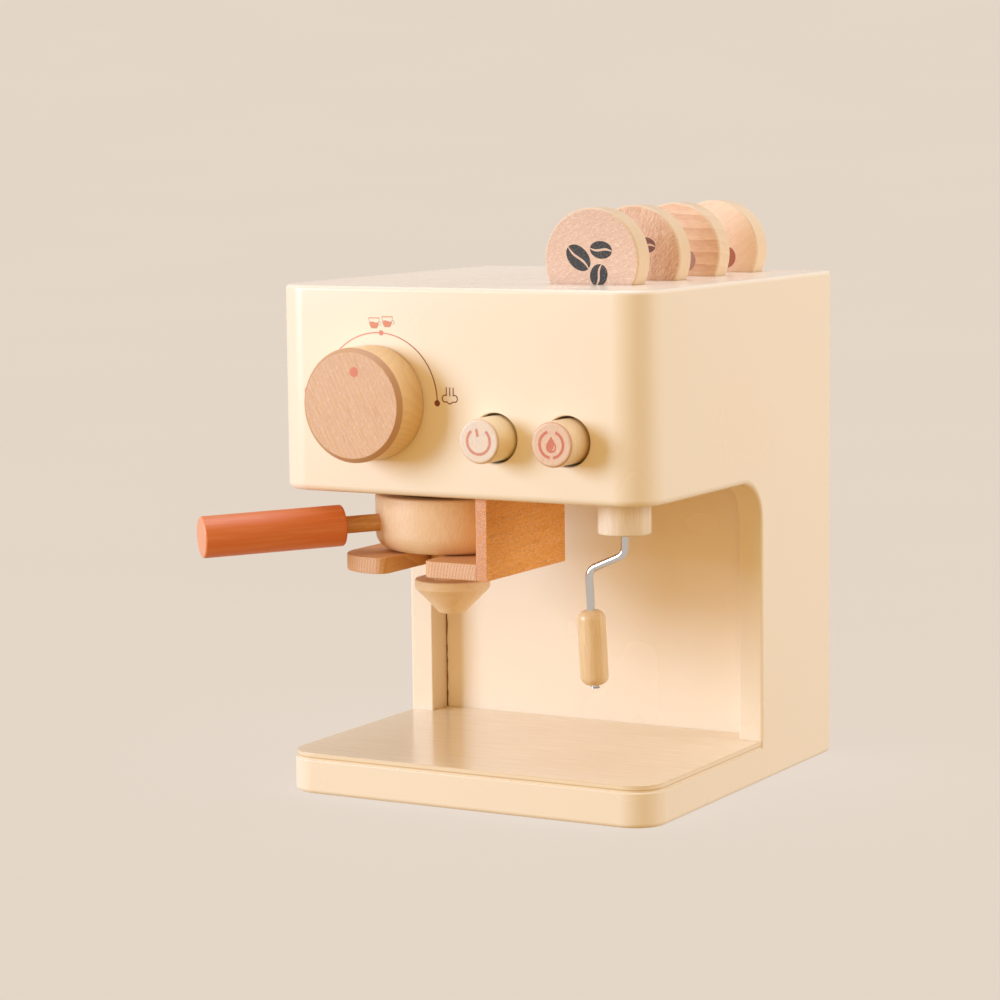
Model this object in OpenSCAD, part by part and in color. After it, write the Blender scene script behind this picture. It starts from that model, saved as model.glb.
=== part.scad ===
// Toy coffee maker in painted board and turned beech.
// Origin: middle of the footprint, on the surface that the base stands on.
// The front looks along -Y, the machine's right side is +X, and up is +Z.
// Every value is in millimetres.

/* [Body] */
// Width across the side panels
body_w = 180; // [160:1:210]
// Depth from the face of the head to the back
body_d = 188; // [180:1:220]
// Height from the resting surface to the top
body_h = 222; // [200:1:250]
// Height of the overhanging head
head_h = 88.5; // [80:0.5:100]
// How far the head overhangs the column
overhang = 112.3; // [104:0.1:120]
// Thickness of the side panels
side_t = 11.5; // [10:0.5:14]
// Thickness of the front panel of the head
front_t = 18; // [17:0.5:22]
// Thickness of the top panel
top_t = 12; // [10:0.5:14]
// Thickness of the floor of the head
floor_t = 12; // [10:0.5:15]
// Thickness of the rear panel
rear_t = 9; // [8:0.5:12]
// Radius of the upright front edges of the head
head_corner_r = 16; // [8:0.5:17]
// Radius in the corner where the column meets the head
arch_r = 18; // [8:1:30]
// How far the column panel lies behind the front of the column
panel_recess = 13.3; // [6:0.1:20]
// Thickness of the column panel
column_panel_t = 9; // [8:0.5:12]

/* [Base and tray] */
// Thickness of the base board
base_t = 15; // [12:0.5:20]
// How far the base lies behind the face of the head
base_inset = 2; // [0:0.5:6]
// Radius of the front corners of the base
base_corner_r = 14.5; // [6:0.5:25]
// Thickness of the tray
tray_t = 3; // [2:0.5:5]
// How far the tray lies inside the edge of the base
tray_inset = 0.8; // [0:0.1:3]
// Gap between the tray and the panels beside it
tray_gap = 0.2; // [0.1:0.1:0.6]

/* [Knob] */
// Diameter of the knob
knob_d = 48.6; // [40:0.2:54]
// Height of the knob from the panel to its face
knob_h = 19; // [16:0.5:26]
// Chamfer round the face of the knob
knob_chamfer = 2; // [1:0.2:4]
// Distance from the left side of the body to the middle of the knob
knob_side = 51; // [44:0.5:56]
// Height of the knob above the underside of the head
knob_up = 39.5; // [36:0.5:46]
// Diameter of the knob's axle
knob_axle_d = 8; // [6:0.5:12]
// Diameter of the retaining disc behind the panel
knob_retainer_d = 24; // [18:1:32]
// Thickness of the retaining disc
knob_retainer_t = 6; // [4:0.5:10]
// How deep the axle is glued into the knob
knob_socket = 12; // [8:0.5:14]

/* [Buttons] */
// Diameter of a button
button_d = 19; // [16:0.5:21]
// How far a button stands out of the panel
button_proud = 13.5; // [10:0.5:16]
// Radius round the face of a button
button_edge_r = 1.4; // [0.6:0.2:2.4]
// Gap between a button and the edge of its hole
button_gap = 1.1; // [0.6:0.1:1.6]
// Distance between the two buttons
button_pitch = 34; // [31:0.5:38]
// Distance from the right side of the body to the middle of the pair
button_side = 53.9; // [52:0.1:60]
// Height of the buttons above the underside of the head
button_up = 26.3; // [25:0.1:34]
// Travel of a button
button_travel = 5; // [3:0.5:7]
// Width of the rim that keeps a button in its hole
button_rim = 3; // [2:0.5:3.5]
// Thickness of that rim
button_rim_t = 3; // [2:0.5:4]
// Diameter of the plunger behind a button
plunger_d = 8; // [6:0.5:9]
// How deep the plunger is glued into the button
plunger_socket = 10; // [8:0.5:14]
// Thickness of the board that guides both plungers
guide_t = 12; // [9:0.5:16]
// Distance from the front panel to that board
guide_gap = 18; // [16:0.5:22]
// Wood above a plunger's axis in the guide board
guide_margin = 14; // [11:0.5:16]

/* [Button springs] */
// Wire diameter of a spring
spring_wire_d = 1; // [0.8:0.1:1.2]
// Turns of a spring
spring_turns = 5; // [4:1:6]
// Gap between the plunger and the spring round it
spring_gap = 0.6; // [0.4:0.1:1]

/* [Coffee discs] */
// Diameter of a disc
disc_d = 44.4; // [38:0.2:48]
// Thickness of a disc
disc_t = 11.1; // [8:0.1:13]
// Chamfer on the edges of a disc
disc_chamfer = 0.7; // [0.3:0.1:1.5]
// How deep a disc sits below the top
disc_sunk = 12.1; // [8:0.1:14]
// Distance from one disc to the next
disc_pitch = 39.6; // [36:0.1:41]
// Distance from the face of the head to the first disc
disc_first = 40.3; // [34:0.1:42]
// Distance from the right side of the body to the middle of the discs
disc_side = 46; // [42:0.5:54]
// Gap on each side of a disc in its slot
disc_gap = 0.45; // [0.3:0.05:0.8]
// Gap between a disc and the ends of its slot
disc_end_gap = 0.2; // [0.1:0.05:0.4]

/* [Filter holder] */
// Height of the holder under the head
holder_h = 35; // [34:0.5:38]
// Length of the holder from front to back
holder_l = 70; // [66:1:76]
// How far the holder lies behind the face of the head
holder_inset = 5; // [2:0.5:8]
// Thickness of the holder's wall
holder_wall_t = 5.5; // [5:0.25:8]
// Thickness of the holder's plate
holder_plate_t = 7; // [6:0.5:8]
// Reach of the plate to the left of the slot's middle
holder_reach = 36.8; // [34:0.2:42]
// Radius of the plate's front left corner
holder_corner_r = 20; // [10:1:24]
// Radius on both sides of the slot's mouth
mouth_r = 5; // [3:0.5:6]

/* [Portafilter] */
// Distance from the left side of the body to the middle of the cup
cup_side = 60.8; // [56:0.2:63]
// Distance from the holder's front to the middle of the cup
cup_back = 42; // [40:0.5:45]
// Diameter of the cup
cup_d = 66.6; // [60:0.2:68]
// Height of the cup
cup_h = 24.4; // [22:0.2:25]
// Radius round the bottom of the cup
cup_bottom_r = 8; // [4:0.5:9]
// Radius round the rim of the cup
cup_rim_r = 1.2; // [0.5:0.1:2]
// Gap round a disc that lies in the cup
basket_gap = 1.2; // [0.8:0.1:2]
// Depth of the hollow that takes a disc
basket_depth = 12; // [11:0.5:13]
// Diameter of the neck below the cup
neck_d = 18; // [14:0.5:20]
// Depth of the neck's sockets in the cup and the spout
neck_socket = 8; // [6:0.5:9]
// Gap between the neck and the slot
slot_gap = 0.3; // [0.2:0.05:0.8]
// Diameter of the spout's top
spout_d = 33; // [30:0.5:40]
// Height of the spout
spout_h = 15.2; // [14:0.2:20]
// Height of the straight band at the spout's top
spout_band = 4; // [2:0.2:5]
// Diameter of the spout's tip
spout_tip_d = 11.4; // [8:0.2:14]
// Gap between the holder's plate and the spout
spout_drop = 6.3; // [4:0.1:9]
// Height of the handle above the cup's bottom
handle_up = 13.8; // [12:0.1:15]
// Diameter of the handle's dowel
handle_dowel_d = 7.5; // [6:0.5:8]
// Depth of the dowel's hole in the cup
handle_socket = 8; // [6:0.5:9]
// Distance from the middle of the cup to the grip
grip_start = 49.3; // [47:0.1:56]
// Length of the grip
grip_l = 62.6; // [54:0.1:72]
// Diameter of the grip
grip_d = 18; // [14:0.5:20]
// Radius round the ends of the grip
grip_edge_r = 1.2; // [0.8:0.1:3]
// Turn of the handle to the left of straight ahead, in degrees
handle_turn = 43; // [0:1:60]
// Droop of the handle below level, in degrees
handle_droop = 2; // [0:0.1:4]

/* [Steam wand] */
// Distance from the right side of the body to the wand
wand_side = 23.5; // [23:0.5:26]
// Distance from the face of the head to the wand
wand_back = 25.5; // [24:0.5:27]
// Diameter of the collar
collar_d = 22.3; // [18:0.1:23]
// Height of the collar
collar_h = 14; // [10:0.5:18]
// Diameter of the collar's peg in the floor of the head
collar_peg_d = 12; // [9:0.5:13]
// Diameter of the wire
wand_wire_d = 3.4; // [2.8:0.1:4]
// Length of the wire from the collar to the first bend
wand_drop = 8.8; // [8:0.1:14]
// Sideways offset of the lower wire
wand_offset = 17; // [14:0.5:20]
// Height between the two bends
wand_fall = 7.5; // [4:0.5:12]
// Inside radius of the bends
wand_bend_r = 3.3; // [2:0.1:4]
// Length of the wire from the lower bend to the grip
wand_leg = 16.8; // [12:0.2:22]
// Lean of the lower wire, in degrees
wand_lean = 3; // [0:0.5:6]
// Length of the wand's grip
wand_grip_l = 32; // [24:0.5:36]
// Diameter of the wand's grip
wand_grip_d = 12; // [10:0.5:14]
// Radius round the ends of the wand's grip
wand_grip_r = 5; // [2:0.5:5]
// Diameter of the clip that keeps the wire in the collar
wand_clip_d = 8; // [7:0.5:9]
// Thickness of that clip
wand_clip_t = 2; // [1:0.25:3]

/* [Fixings] */
// Diameter of the joining dowels
dowel_d = 6; // [5:0.5:6.5]
// Depth of a dowel in the face of a panel
dowel_face = 7; // [5:0.5:8]
// Depth of a dowel in the edge of a panel
dowel_edge = 12; // [10:1:16]
// Diameter of the holder's own dowels
holder_dowel_d = 4; // [3:0.5:4.5]
// Depth of those dowels in the holder's wall
holder_dowel_in = 3.5; // [2.5:0.25:4]
// Shank diameter of the screws
screw_d = 3; // [2.5:0.25:3.5]
// Head diameter of the screws
screw_head_d = 6.5; // [5.5:0.25:7.5]
// How deep a screw bites into the panel above
screw_bite = 18; // [12:1:22]

/* [Hidden] */
$fn = 64;

over = 1;              // a cut runs this far past the face it opens
glue_gap = 0.05;       // room for glue round a dowel
end_gap = 0.3;         // free length at the end of a blind hole
run_gap = 0.05;        // clearance of a turning or sliding shaft in its bore
face_gap = 0.3;        // clearance between faces that move past each other

// Planes of the body
front_y = -body_d / 2;
back_y = body_d / 2;
underside_z = body_h - head_h;
panel_top_z = body_h - top_t;
floor_top_z = underside_z + floor_t;
inner_x = body_w / 2 - side_t;
inner_front_y = front_y + front_t;
column_y = front_y + overhang;
panel_y = column_y + panel_recess;
base_front_y = front_y + base_inset;

// Places of the fittings, each from the side of the body that it is near
knob_x = -body_w / 2 + knob_side;
cup_x = -body_w / 2 + cup_side;
button_x = body_w / 2 - button_side;
disc_x = body_w / 2 - disc_side;
wand_x = body_w / 2 - wand_side;

// Knob and buttons
knob_z = underside_z + knob_up;
button_z = underside_z + button_up;
button_hole_d = button_d + 2 * button_gap;
button_rim_d = button_hole_d + 2 * button_rim;
guide_y = inner_front_y + guide_gap;
power_x = button_x - button_pitch / 2;
water_x = button_x + button_pitch / 2;
rim_front_y = inner_front_y + face_gap;
rim_back_y = rim_front_y + button_rim_t;
spring_l = guide_y - rim_back_y - 2 * face_gap;
spring_r = plunger_d / 2 + spring_gap + spring_wire_d / 2;

// Coffee discs
disc_count = 4;
disc_z = body_h + disc_d / 2 - disc_sunk;
disc_half_chord = sqrt(pow(disc_d / 2, 2) - pow(disc_z - body_h, 2));
slot_l = 2 * (disc_half_chord + disc_end_gap);
slot_w = disc_t + 2 * disc_gap;

// Filter holder and portafilter
holder_z = underside_z - holder_h;
plate_top_z = holder_z + holder_plate_t;
holder_front_y = front_y + holder_inset;
cup_y = holder_front_y + cup_back;
cup_z = plate_top_z + face_gap;
cup_wall_gap = 2.5;    // room between the cup and the holder's wall
wall_x = cup_x + cup_d / 2 + cup_wall_gap;
slot_r = neck_d / 2 + slot_gap;
spout_top_z = holder_z - spout_drop;
basket_d = disc_d + 2 * basket_gap;
handle_z = cup_z + handle_up;
dowel_start = cup_d / 2 - handle_socket;
grip_socket = 20;      // depth of the dowel's hole in the grip

// Steam wand
wand_y = front_y + wand_back;
collar_z = underside_z - collar_h;
bend_mid_r = wand_bend_r + wand_wire_d / 2;
upper_bend = atan(wand_offset / wand_fall);
lower_bend = upper_bend + wand_lean;
slant_l = sqrt(pow(wand_offset, 2) + pow(wand_fall, 2));
upper_tangent = bend_mid_r * tan(upper_bend / 2);
lower_tangent = bend_mid_r * tan(lower_bend / 2);
upper_knee_z = collar_z - wand_drop;
wire_tail = 0.6;       // end of the wire that shows under the grip
wire_above_clip = 1.5; // end of the wire that stands out of the clip
rivet_t = 0.8;         // peened head on the end of the wire
rivet_over = 0.4;      // how much wider than the wire that head is at its start
rivet_flare = 0.7;     // how much wider that head gets towards its end
bend_swell = 0.02;     // a wire is this much fuller where a bend starts or ends
wire_top_z = floor_top_z + wand_clip_t + wire_above_clip;

// Fixings
dowel_r = dowel_d / 2;
side_mid_x = body_w / 2 - side_t / 2;
front_mid_y = front_y + front_t / 2;
side_dowel_in = 16;    // from the ends of a side panel's edge to its dowels
side_dowel_up = 18;    // from the head's floor and top to the dowels between them
floor_dowel_in = 34;   // from the front panel to the floor's first side dowel
floor_dowel_back = 20; // from the column panel to the floor's second side dowel
floor_dowel_left = 18.5; // from the left side panel to the floor's first front dowel
floor_dowel_right = 40.5; // from the right side panel to the floor's last front dowel
top_dowel_in = 28.5;   // from the side panels to the top's outer front dowels
guide_web = 2;         // wood left beside a dowel of the guide board
guide_dowel_out = plunger_d / 2 + guide_web + dowel_r;
base_screw_in = 14;    // from the ends of the column to its screws
base_screw_side = 38.5; // from the side panels to the screws of the panels between them
holder_screw_in = 9;   // from the front panel and the wall's rear end to the holder's screws
holder_dowel_end = 12; // from the ends of the holder's wall to its dowels
holder_dowel_plate = 12; // depth of those dowels in the holder's plate
side_dowel_y = [
    inner_front_y + side_dowel_in, (inner_front_y + back_y) / 2, back_y - side_dowel_in
];
side_dowel_z = [underside_z + side_dowel_up, panel_top_z - side_dowel_up];
floor_mid_z = underside_z + floor_t / 2;
floor_dowel_x = [
    -inner_x + floor_dowel_left, (floor_dowel_left - floor_dowel_right) / 2,
    inner_x - floor_dowel_right
];
top_dowel_x = [-inner_x + top_dowel_in, 0, inner_x - top_dowel_in];
base_screw_x = inner_x - base_screw_side;
floor_dowel_y = [inner_front_y + floor_dowel_in, panel_y - floor_dowel_back];
holder_screw_y = [inner_front_y + holder_screw_in, holder_front_y + holder_l - holder_screw_in];
guide_dowel_x = [power_x - guide_dowel_out, water_x + guide_dowel_out];
screw_head_h = (screw_head_d - screw_d) / 2;
screw_sink = 0.3;      // a screw's head lies this far below the surface

cream = "#F7E3C9";
birch = "#EBC9A0";
beech = "#DDB083";
terracotta = "#D07038";
steel = "silver";

// ---- Helpers -------------------------------------------------------------

// Plan outline with square rear corners and round front corners
module plan_outline(half_w, y0, y1, r) {
    difference() {
        translate([-half_w, y0]) square([2 * half_w, y1 - y0]);
        for (side = [-1, 1])
            translate([side * (half_w - r), y0 + r])
                difference() {
                    translate([side > 0 ? 0 : -r - over, -r - over]) square(r + over);
                    circle(r);
                }
    }
}

// Upright outline in Y and Z, extruded along X from x0
module side_extrude(x0, t) {
    translate([x0, 0, 0]) rotate([90, 0, 90]) linear_extrude(t) children();
}

// Half profile of a round rod with a radius on its low and its high edge
module rod_profile(r, h, low_r, high_r) {
    difference() {
        square([r, h]);
        translate([r - low_r, low_r])
            difference() {
                translate([0, -low_r - over]) square(low_r + over);
                circle(low_r);
            }
        translate([r - high_r, h - high_r])
            difference() {
                square(high_r + over);
                circle(high_r);
            }
    }
}

// Turned rod along Z
module turned_rod(r, h, low_r, high_r) {
    rotate_extrude() rod_profile(r, h, low_r, high_r);
}

// Round bar from a point, along the direction that dir names
module bar(at, dir, r, l) {
    turn = dir == "x" ? [0, 90, 0] : dir == "y" ? [-90, 0, 0] : [0, 0, 0];
    translate(at) rotate(turn) cylinder(r = r, h = l);
}

// Dowel whose middle plane is the joint between a face and an edge.
// face_side is 1 where the face lies towards the positive axis.
module dowel_at(at, dir, face_side, grow, stretch) {
    low = (face_side > 0 ? dowel_edge : dowel_face) + stretch;
    whole = dowel_edge + dowel_face + 2 * stretch;
    step = dir == "x" ? [low, 0, 0] : dir == "y" ? [0, low, 0] : [0, 0, low];
    bar(at - step, dir, dowel_r + grow, whole);
}

module top_dowels(grow, stretch) {
    for (x = [-side_mid_x, side_mid_x], y = side_dowel_y)
        dowel_at([x, y, panel_top_z], "z", 1, grow, stretch);
    for (x = top_dowel_x)
        dowel_at([x, front_mid_y, panel_top_z], "z", 1, grow, stretch);
}

module front_dowels(grow, stretch) {
    for (x = [-side_mid_x, side_mid_x], z = side_dowel_z)
        dowel_at([x, inner_front_y, z], "y", -1, grow, stretch);
    for (x = floor_dowel_x)
        dowel_at([x, inner_front_y, floor_mid_z], "y", -1, grow, stretch);
}

module floor_dowels(grow, stretch) {
    for (side = [-1, 1], y = floor_dowel_y)
        dowel_at([side * inner_x, y, floor_mid_z], "x", side, grow, stretch);
}

module guide_dowels(grow, stretch) {
    for (x = guide_dowel_x)
        dowel_at([x, guide_y + guide_t / 2, floor_top_z], "z", -1, grow, stretch);
}

// Countersunk screw along +Z, with its head's face at z = 0
module screw(l) {
    cylinder(d1 = screw_head_d, d2 = screw_d, h = screw_head_h);
    cylinder(d = screw_d, h = l);
}

// The hole for such a screw, from the surface that its head sinks into
module screw_hole(l) {
    grow = 2 * glue_gap;
    translate([0, 0, -over]) cylinder(d = screw_head_d + grow, h = over + screw_sink + glue_gap);
    translate([0, 0, screw_sink + glue_gap])
        cylinder(d1 = screw_head_d + grow, d2 = screw_d + grow, h = screw_head_h);
    cylinder(d = screw_d + grow, h = l + screw_sink + end_gap);
}

module at_base_screws() {
    for (x = [-side_mid_x, side_mid_x], y = [column_y + base_screw_in, back_y - base_screw_in])
        translate([x, y, 0]) children();
    for (x = [-base_screw_x, base_screw_x], y = [panel_y + column_panel_t / 2, back_y - rear_t / 2])
        translate([x, y, 0]) children();
}

module at_holder_screws() {
    for (y = holder_screw_y)
        translate([wall_x + holder_wall_t / 2, y, floor_top_z]) mirror([0, 0, 1]) children();
}

// ---- Body ----------------------------------------------------------------

module base_board() {
    color(cream)
    difference() {
        linear_extrude(base_t) plan_outline(body_w / 2, base_front_y, back_y, base_corner_r);
        at_base_screws() screw_hole(base_t + screw_bite);
    }
}

module tray_plate() {
    half_w = body_w / 2 - tray_inset;
    front = base_front_y + tray_inset;
    color(birch)
    translate([0, 0, base_t])
        linear_extrude(tray_t)
            union() {
                plan_outline(half_w, front, column_y - tray_gap, base_corner_r - tray_inset);
                translate([-inner_x + tray_gap, front + base_corner_r])
                    square([2 * (inner_x - tray_gap), panel_y - tray_gap - front - base_corner_r]);
            }
}

// Column and head in one board, with the round inner corner between them
module side_outline() {
    difference() {
        translate([inner_front_y, base_t])
            square([back_y - inner_front_y, panel_top_z - base_t]);
        translate([inner_front_y - over, base_t - over])
            square([column_y - inner_front_y + over, underside_z - arch_r - base_t + over]);
        translate([inner_front_y - over, base_t])
            square([column_y - arch_r - inner_front_y + over, underside_z - base_t]);
        translate([column_y - arch_r, underside_z - arch_r]) circle(arch_r);
    }
}

module side_panel(side) {
    color(cream)
    difference() {
        side_extrude(side > 0 ? inner_x : -body_w / 2, side_t) side_outline();
        top_dowels(glue_gap, end_gap);
        front_dowels(glue_gap, end_gap);
        floor_dowels(glue_gap, end_gap);
        at_base_screws() screw_hole(base_t + screw_bite);
    }
}

module left_side_panel() { side_panel(-1); }
module right_side_panel() { side_panel(1); }

module front_panel() {
    color(cream)
    difference() {
        translate([0, 0, underside_z])
            linear_extrude(panel_top_z - underside_z)
                plan_outline(body_w / 2, front_y, inner_front_y, head_corner_r);
        bar([knob_x, front_y - over, knob_z], "y", knob_axle_d / 2 + run_gap, front_t + 2 * over);
        for (x = [power_x, water_x])
            bar([x, front_y - over, button_z], "y", button_hole_d / 2, front_t + 2 * over);
        top_dowels(glue_gap, end_gap);
        front_dowels(glue_gap, end_gap);
    }
}

module top_panel() {
    color(cream)
    difference() {
        translate([0, 0, panel_top_z])
            linear_extrude(top_t) plan_outline(body_w / 2, front_y, back_y, head_corner_r);
        for (i = [0:disc_count - 1])
            translate([disc_x - slot_l / 2, front_y + disc_first + i * disc_pitch - disc_gap,
                       panel_top_z - over])
                cube([slot_l, slot_w, top_t + 2 * over]);
        top_dowels(glue_gap, end_gap);
    }
}

module head_floor() {
    color(cream)
    difference() {
        translate([-inner_x, inner_front_y, underside_z])
            cube([2 * inner_x, panel_y - inner_front_y, floor_t]);
        bar([wand_x, wand_y, underside_z - over], "z", collar_peg_d / 2 + glue_gap,
            floor_t + 2 * over);
        front_dowels(glue_gap, end_gap);
        floor_dowels(glue_gap, end_gap);
        guide_dowels(glue_gap, end_gap);
        at_holder_screws() screw_hole(floor_t + screw_bite);
    }
}

module column_panel() {
    color(cream)
    difference() {
        translate([-inner_x, panel_y, base_t])
            cube([2 * inner_x, column_panel_t, floor_top_z - base_t]);
        at_base_screws() screw_hole(base_t + screw_bite);
    }
}

module rear_panel() {
    color(cream)
    difference() {
        translate([-inner_x, back_y - rear_t, base_t])
            cube([2 * inner_x, rear_t, panel_top_z - base_t]);
        at_base_screws() screw_hole(base_t + screw_bite);
    }
}

module button_guide() {
    guide_w = button_pitch + 2 * (guide_dowel_out + dowel_r + guide_web);
    color(birch)
    difference() {
        translate([button_x - guide_w / 2, guide_y, floor_top_z])
            cube([guide_w, guide_t, button_z - floor_top_z + guide_margin]);
        for (x = [power_x, water_x])
            bar([x, guide_y - over, button_z], "y", plunger_d / 2 + run_gap, guide_t + 2 * over);
        guide_dowels(glue_gap, end_gap);
    }
}

module panel_dowels() {
    color(beech) {
        top_dowels(0, 0);
        front_dowels(0, 0);
        floor_dowels(0, 0);
        guide_dowels(0, 0);
    }
}

module base_screws() {
    color(steel)
    at_base_screws() translate([0, 0, screw_sink]) screw(base_t + screw_bite);
}

// ---- Filter holder -------------------------------------------------------

module holder_dowel_set(grow, stretch) {
    for (y = [holder_front_y + holder_dowel_end, holder_front_y + holder_l - holder_dowel_end])
        bar([wall_x - holder_dowel_plate - stretch, y, holder_z + holder_plate_t / 2], "x",
            holder_dowel_d / 2 + grow, holder_dowel_plate + holder_dowel_in + 2 * stretch);
}

module holder_wall() {
    color(beech)
    difference() {
        translate([wall_x, holder_front_y, holder_z])
            cube([holder_wall_t, holder_l, holder_h]);
        holder_dowel_set(glue_gap, end_gap);
        at_holder_screws() screw_hole(floor_t + screw_bite);
    }
}

// The fork that the neck slides into, open towards the front
module holder_outline() {
    left_x = cup_x - holder_reach;
    mouth_y = holder_front_y + mouth_r;
    difference() {
        translate([left_x, holder_front_y]) square([wall_x - left_x, holder_l]);
        translate([left_x + holder_corner_r, holder_front_y + holder_corner_r])
            difference() {
                translate([-holder_corner_r - over, -holder_corner_r - over])
                    square(holder_corner_r + over);
                circle(holder_corner_r);
            }
        translate([cup_x - slot_r, holder_front_y - over]) square([2 * slot_r, cup_back + over]);
        translate([cup_x, cup_y]) circle(slot_r);
        for (side = [-1, 1])
            translate([cup_x + side * (slot_r + mouth_r), mouth_y])
                difference() {
                    translate([side > 0 ? -mouth_r - over : 0, -mouth_r - over])
                        square(mouth_r + over);
                    circle(mouth_r);
                }
    }
}

module holder_plate() {
    color(beech)
    difference() {
        translate([0, 0, holder_z]) linear_extrude(holder_plate_t) holder_outline();
        holder_dowel_set(glue_gap, end_gap);
    }
}

module holder_dowels() {
    color(beech) holder_dowel_set(0, 0);
}

module holder_screws() {
    color(steel)
    at_holder_screws() translate([0, 0, screw_sink]) screw(floor_t + screw_bite);
}

// ---- Knob ----------------------------------------------------------------

module knob() {
    low_y = front_y - knob_h;
    body_l = knob_h - face_gap;
    color(beech)
    difference() {
        translate([knob_x, low_y, knob_z]) rotate([-90, 0, 0]) {
            cylinder(d1 = knob_d - 2 * knob_chamfer, d2 = knob_d, h = knob_chamfer);
            translate([0, 0, knob_chamfer]) cylinder(d = knob_d, h = body_l - knob_chamfer);
        }
        bar([knob_x, front_y - face_gap - knob_socket, knob_z], "y", knob_axle_d / 2 + glue_gap,
            knob_socket + over);
    }
}

module knob_axle() {
    start = front_y - face_gap - knob_socket + end_gap;
    color(beech)
    bar([knob_x, start, knob_z], "y", knob_axle_d / 2,
        inner_front_y + face_gap + knob_retainer_t - start);
}

module knob_retainer() {
    color(birch)
    difference() {
        bar([knob_x, inner_front_y + face_gap, knob_z], "y", knob_retainer_d / 2,
            knob_retainer_t);
        bar([knob_x, inner_front_y, knob_z], "y", knob_axle_d / 2 + glue_gap,
            knob_retainer_t + over);
    }
}

// ---- Buttons -------------------------------------------------------------

module button(x) {
    start = front_y - button_proud;
    color(beech)
    difference() {
        translate([x, start, button_z]) rotate([-90, 0, 0]) {
            turned_rod(button_d / 2, rim_back_y - start, button_edge_r, button_edge_r);
            translate([0, 0, rim_front_y - start]) cylinder(d = button_rim_d, h = button_rim_t);
        }
        bar([x, rim_back_y - plunger_socket, button_z], "y", plunger_d / 2 + glue_gap,
            plunger_socket + over);
    }
}

module plunger(x) {
    start = rim_back_y - plunger_socket + end_gap;
    color(birch)
    bar([x, start, button_z], "y", plunger_d / 2, guide_y + guide_t + button_travel - start);
}

// One unbroken tube: both ends run straight along the axis for a wire's width
function coil_point(i, n) =
    i == 0 ? [spring_r, 0, 0] :
    i == n + 2 ? [spring_r * cos(360 * spring_turns), spring_r * sin(360 * spring_turns), spring_l] :
    let (s = (i - 1) / n, a = 360 * spring_turns * s)
        [spring_r * cos(a), spring_r * sin(a),
         spring_wire_d + (spring_l - 2 * spring_wire_d) * s];

function unit(v) = v / norm(v);

module coil() {
    rings_a_turn = 8;
    sides = 6;
    n = rings_a_turn * spring_turns;
    path = [for (i = [0:n + 2]) coil_point(i, n)];
    last = len(path) - 1;
    points = [
        for (i = [0:last])
            let (
                ahead = unit(path[min(i + 1, last)] - path[max(i - 1, 0)]),
                out = unit([path[i].x, path[i].y, 0]),
                u = unit(out - ahead * (out * ahead)),
                v = cross(ahead, u)
            )
            for (k = [0:sides - 1])
                let (a = 360 * k / sides)
                path[i] + spring_wire_d / 2 * (u * cos(a) + v * sin(a))
    ];
    skin = [
        for (i = [0:last - 1], k = [0:sides - 1])
            let (
                a = i * sides + k,
                b = i * sides + (k + 1) % sides
            )
            each [[a, a + sides, b + sides], [a, b + sides, b]]
    ];
    ends = [
        for (k = [1:sides - 2]) each [
            [0, k, k + 1],
            [last * sides, last * sides + k + 1, last * sides + k]
        ]
    ];
    // Points nearly a whole turn or more apart along the wire
    gaps = [
        for (i = [0:last], j = [0:last])
            if (j - i > rings_a_turn - 2) norm(path[j] - path[i]) - spring_wire_d
    ];
    echo(least_spring_gap = min(gaps));
    polyhedron(points = points, faces = concat(skin, ends), convexity = 10);
}

module button_spring(x) {
    color(steel)
    translate([x, rim_back_y + face_gap, button_z]) rotate([-90, 0, 0]) coil();
}

module power_button() { button(power_x); }
module power_plunger() { plunger(power_x); }
module power_spring() { button_spring(power_x); }
module water_button() { button(water_x); }
module water_plunger() { plunger(water_x); }
module water_spring() { button_spring(water_x); }

// ---- Coffee discs --------------------------------------------------------

module coffee_disc(i) {
    flat_r = disc_d / 2 - disc_chamfer;
    color(beech)
    translate([disc_x, front_y + disc_first + i * disc_pitch, disc_z]) rotate([-90, 0, 0])
        rotate_extrude()
            polygon([
                [0, 0],
                [flat_r, 0],
                [disc_d / 2, disc_chamfer],
                [disc_d / 2, disc_t - disc_chamfer],
                [flat_r, disc_t],
                [0, disc_t]
            ]);
}

module coffee_disc_1() { coffee_disc(0); }
module coffee_disc_2() { coffee_disc(1); }
module coffee_disc_3() { coffee_disc(2); }
module coffee_disc_4() { coffee_disc(3); }

// ---- Portafilter ---------------------------------------------------------

// Moves a part that is drawn along -Y from the cup's axis into place
module on_handle() {
    translate([cup_x, cup_y, handle_z])
        rotate([handle_droop, 0, -handle_turn])
            children();
}

module filter_cup() {
    color(beech)
    difference() {
        translate([cup_x, cup_y, cup_z])
            turned_rod(cup_d / 2, cup_h, cup_bottom_r, cup_rim_r);
        bar([cup_x, cup_y, cup_z + cup_h - basket_depth], "z", basket_d / 2,
            basket_depth + over);
        bar([cup_x, cup_y, cup_z - over], "z", neck_d / 2 + run_gap, neck_socket + over);
        on_handle()
            bar([0, -cup_d / 2 - over, 0], "y", handle_dowel_d / 2 + glue_gap,
                handle_socket + over);
    }
}

module filter_neck() {
    low_z = spout_top_z - neck_socket + end_gap;
    color(beech)
    bar([cup_x, cup_y, low_z], "z", neck_d / 2, cup_z + neck_socket - end_gap - low_z);
}

module spout_cone() {
    color(beech)
    difference() {
        translate([cup_x, cup_y, spout_top_z - spout_h])
            rotate_extrude()
                polygon([
                    [0, 0],
                    [spout_tip_d / 2, 0],
                    [spout_d / 2, spout_h - spout_band],
                    [spout_d / 2, spout_h],
                    [0, spout_h]
                ]);
        bar([cup_x, cup_y, spout_top_z - neck_socket], "z", neck_d / 2 + run_gap,
            neck_socket + over);
    }
}

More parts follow.
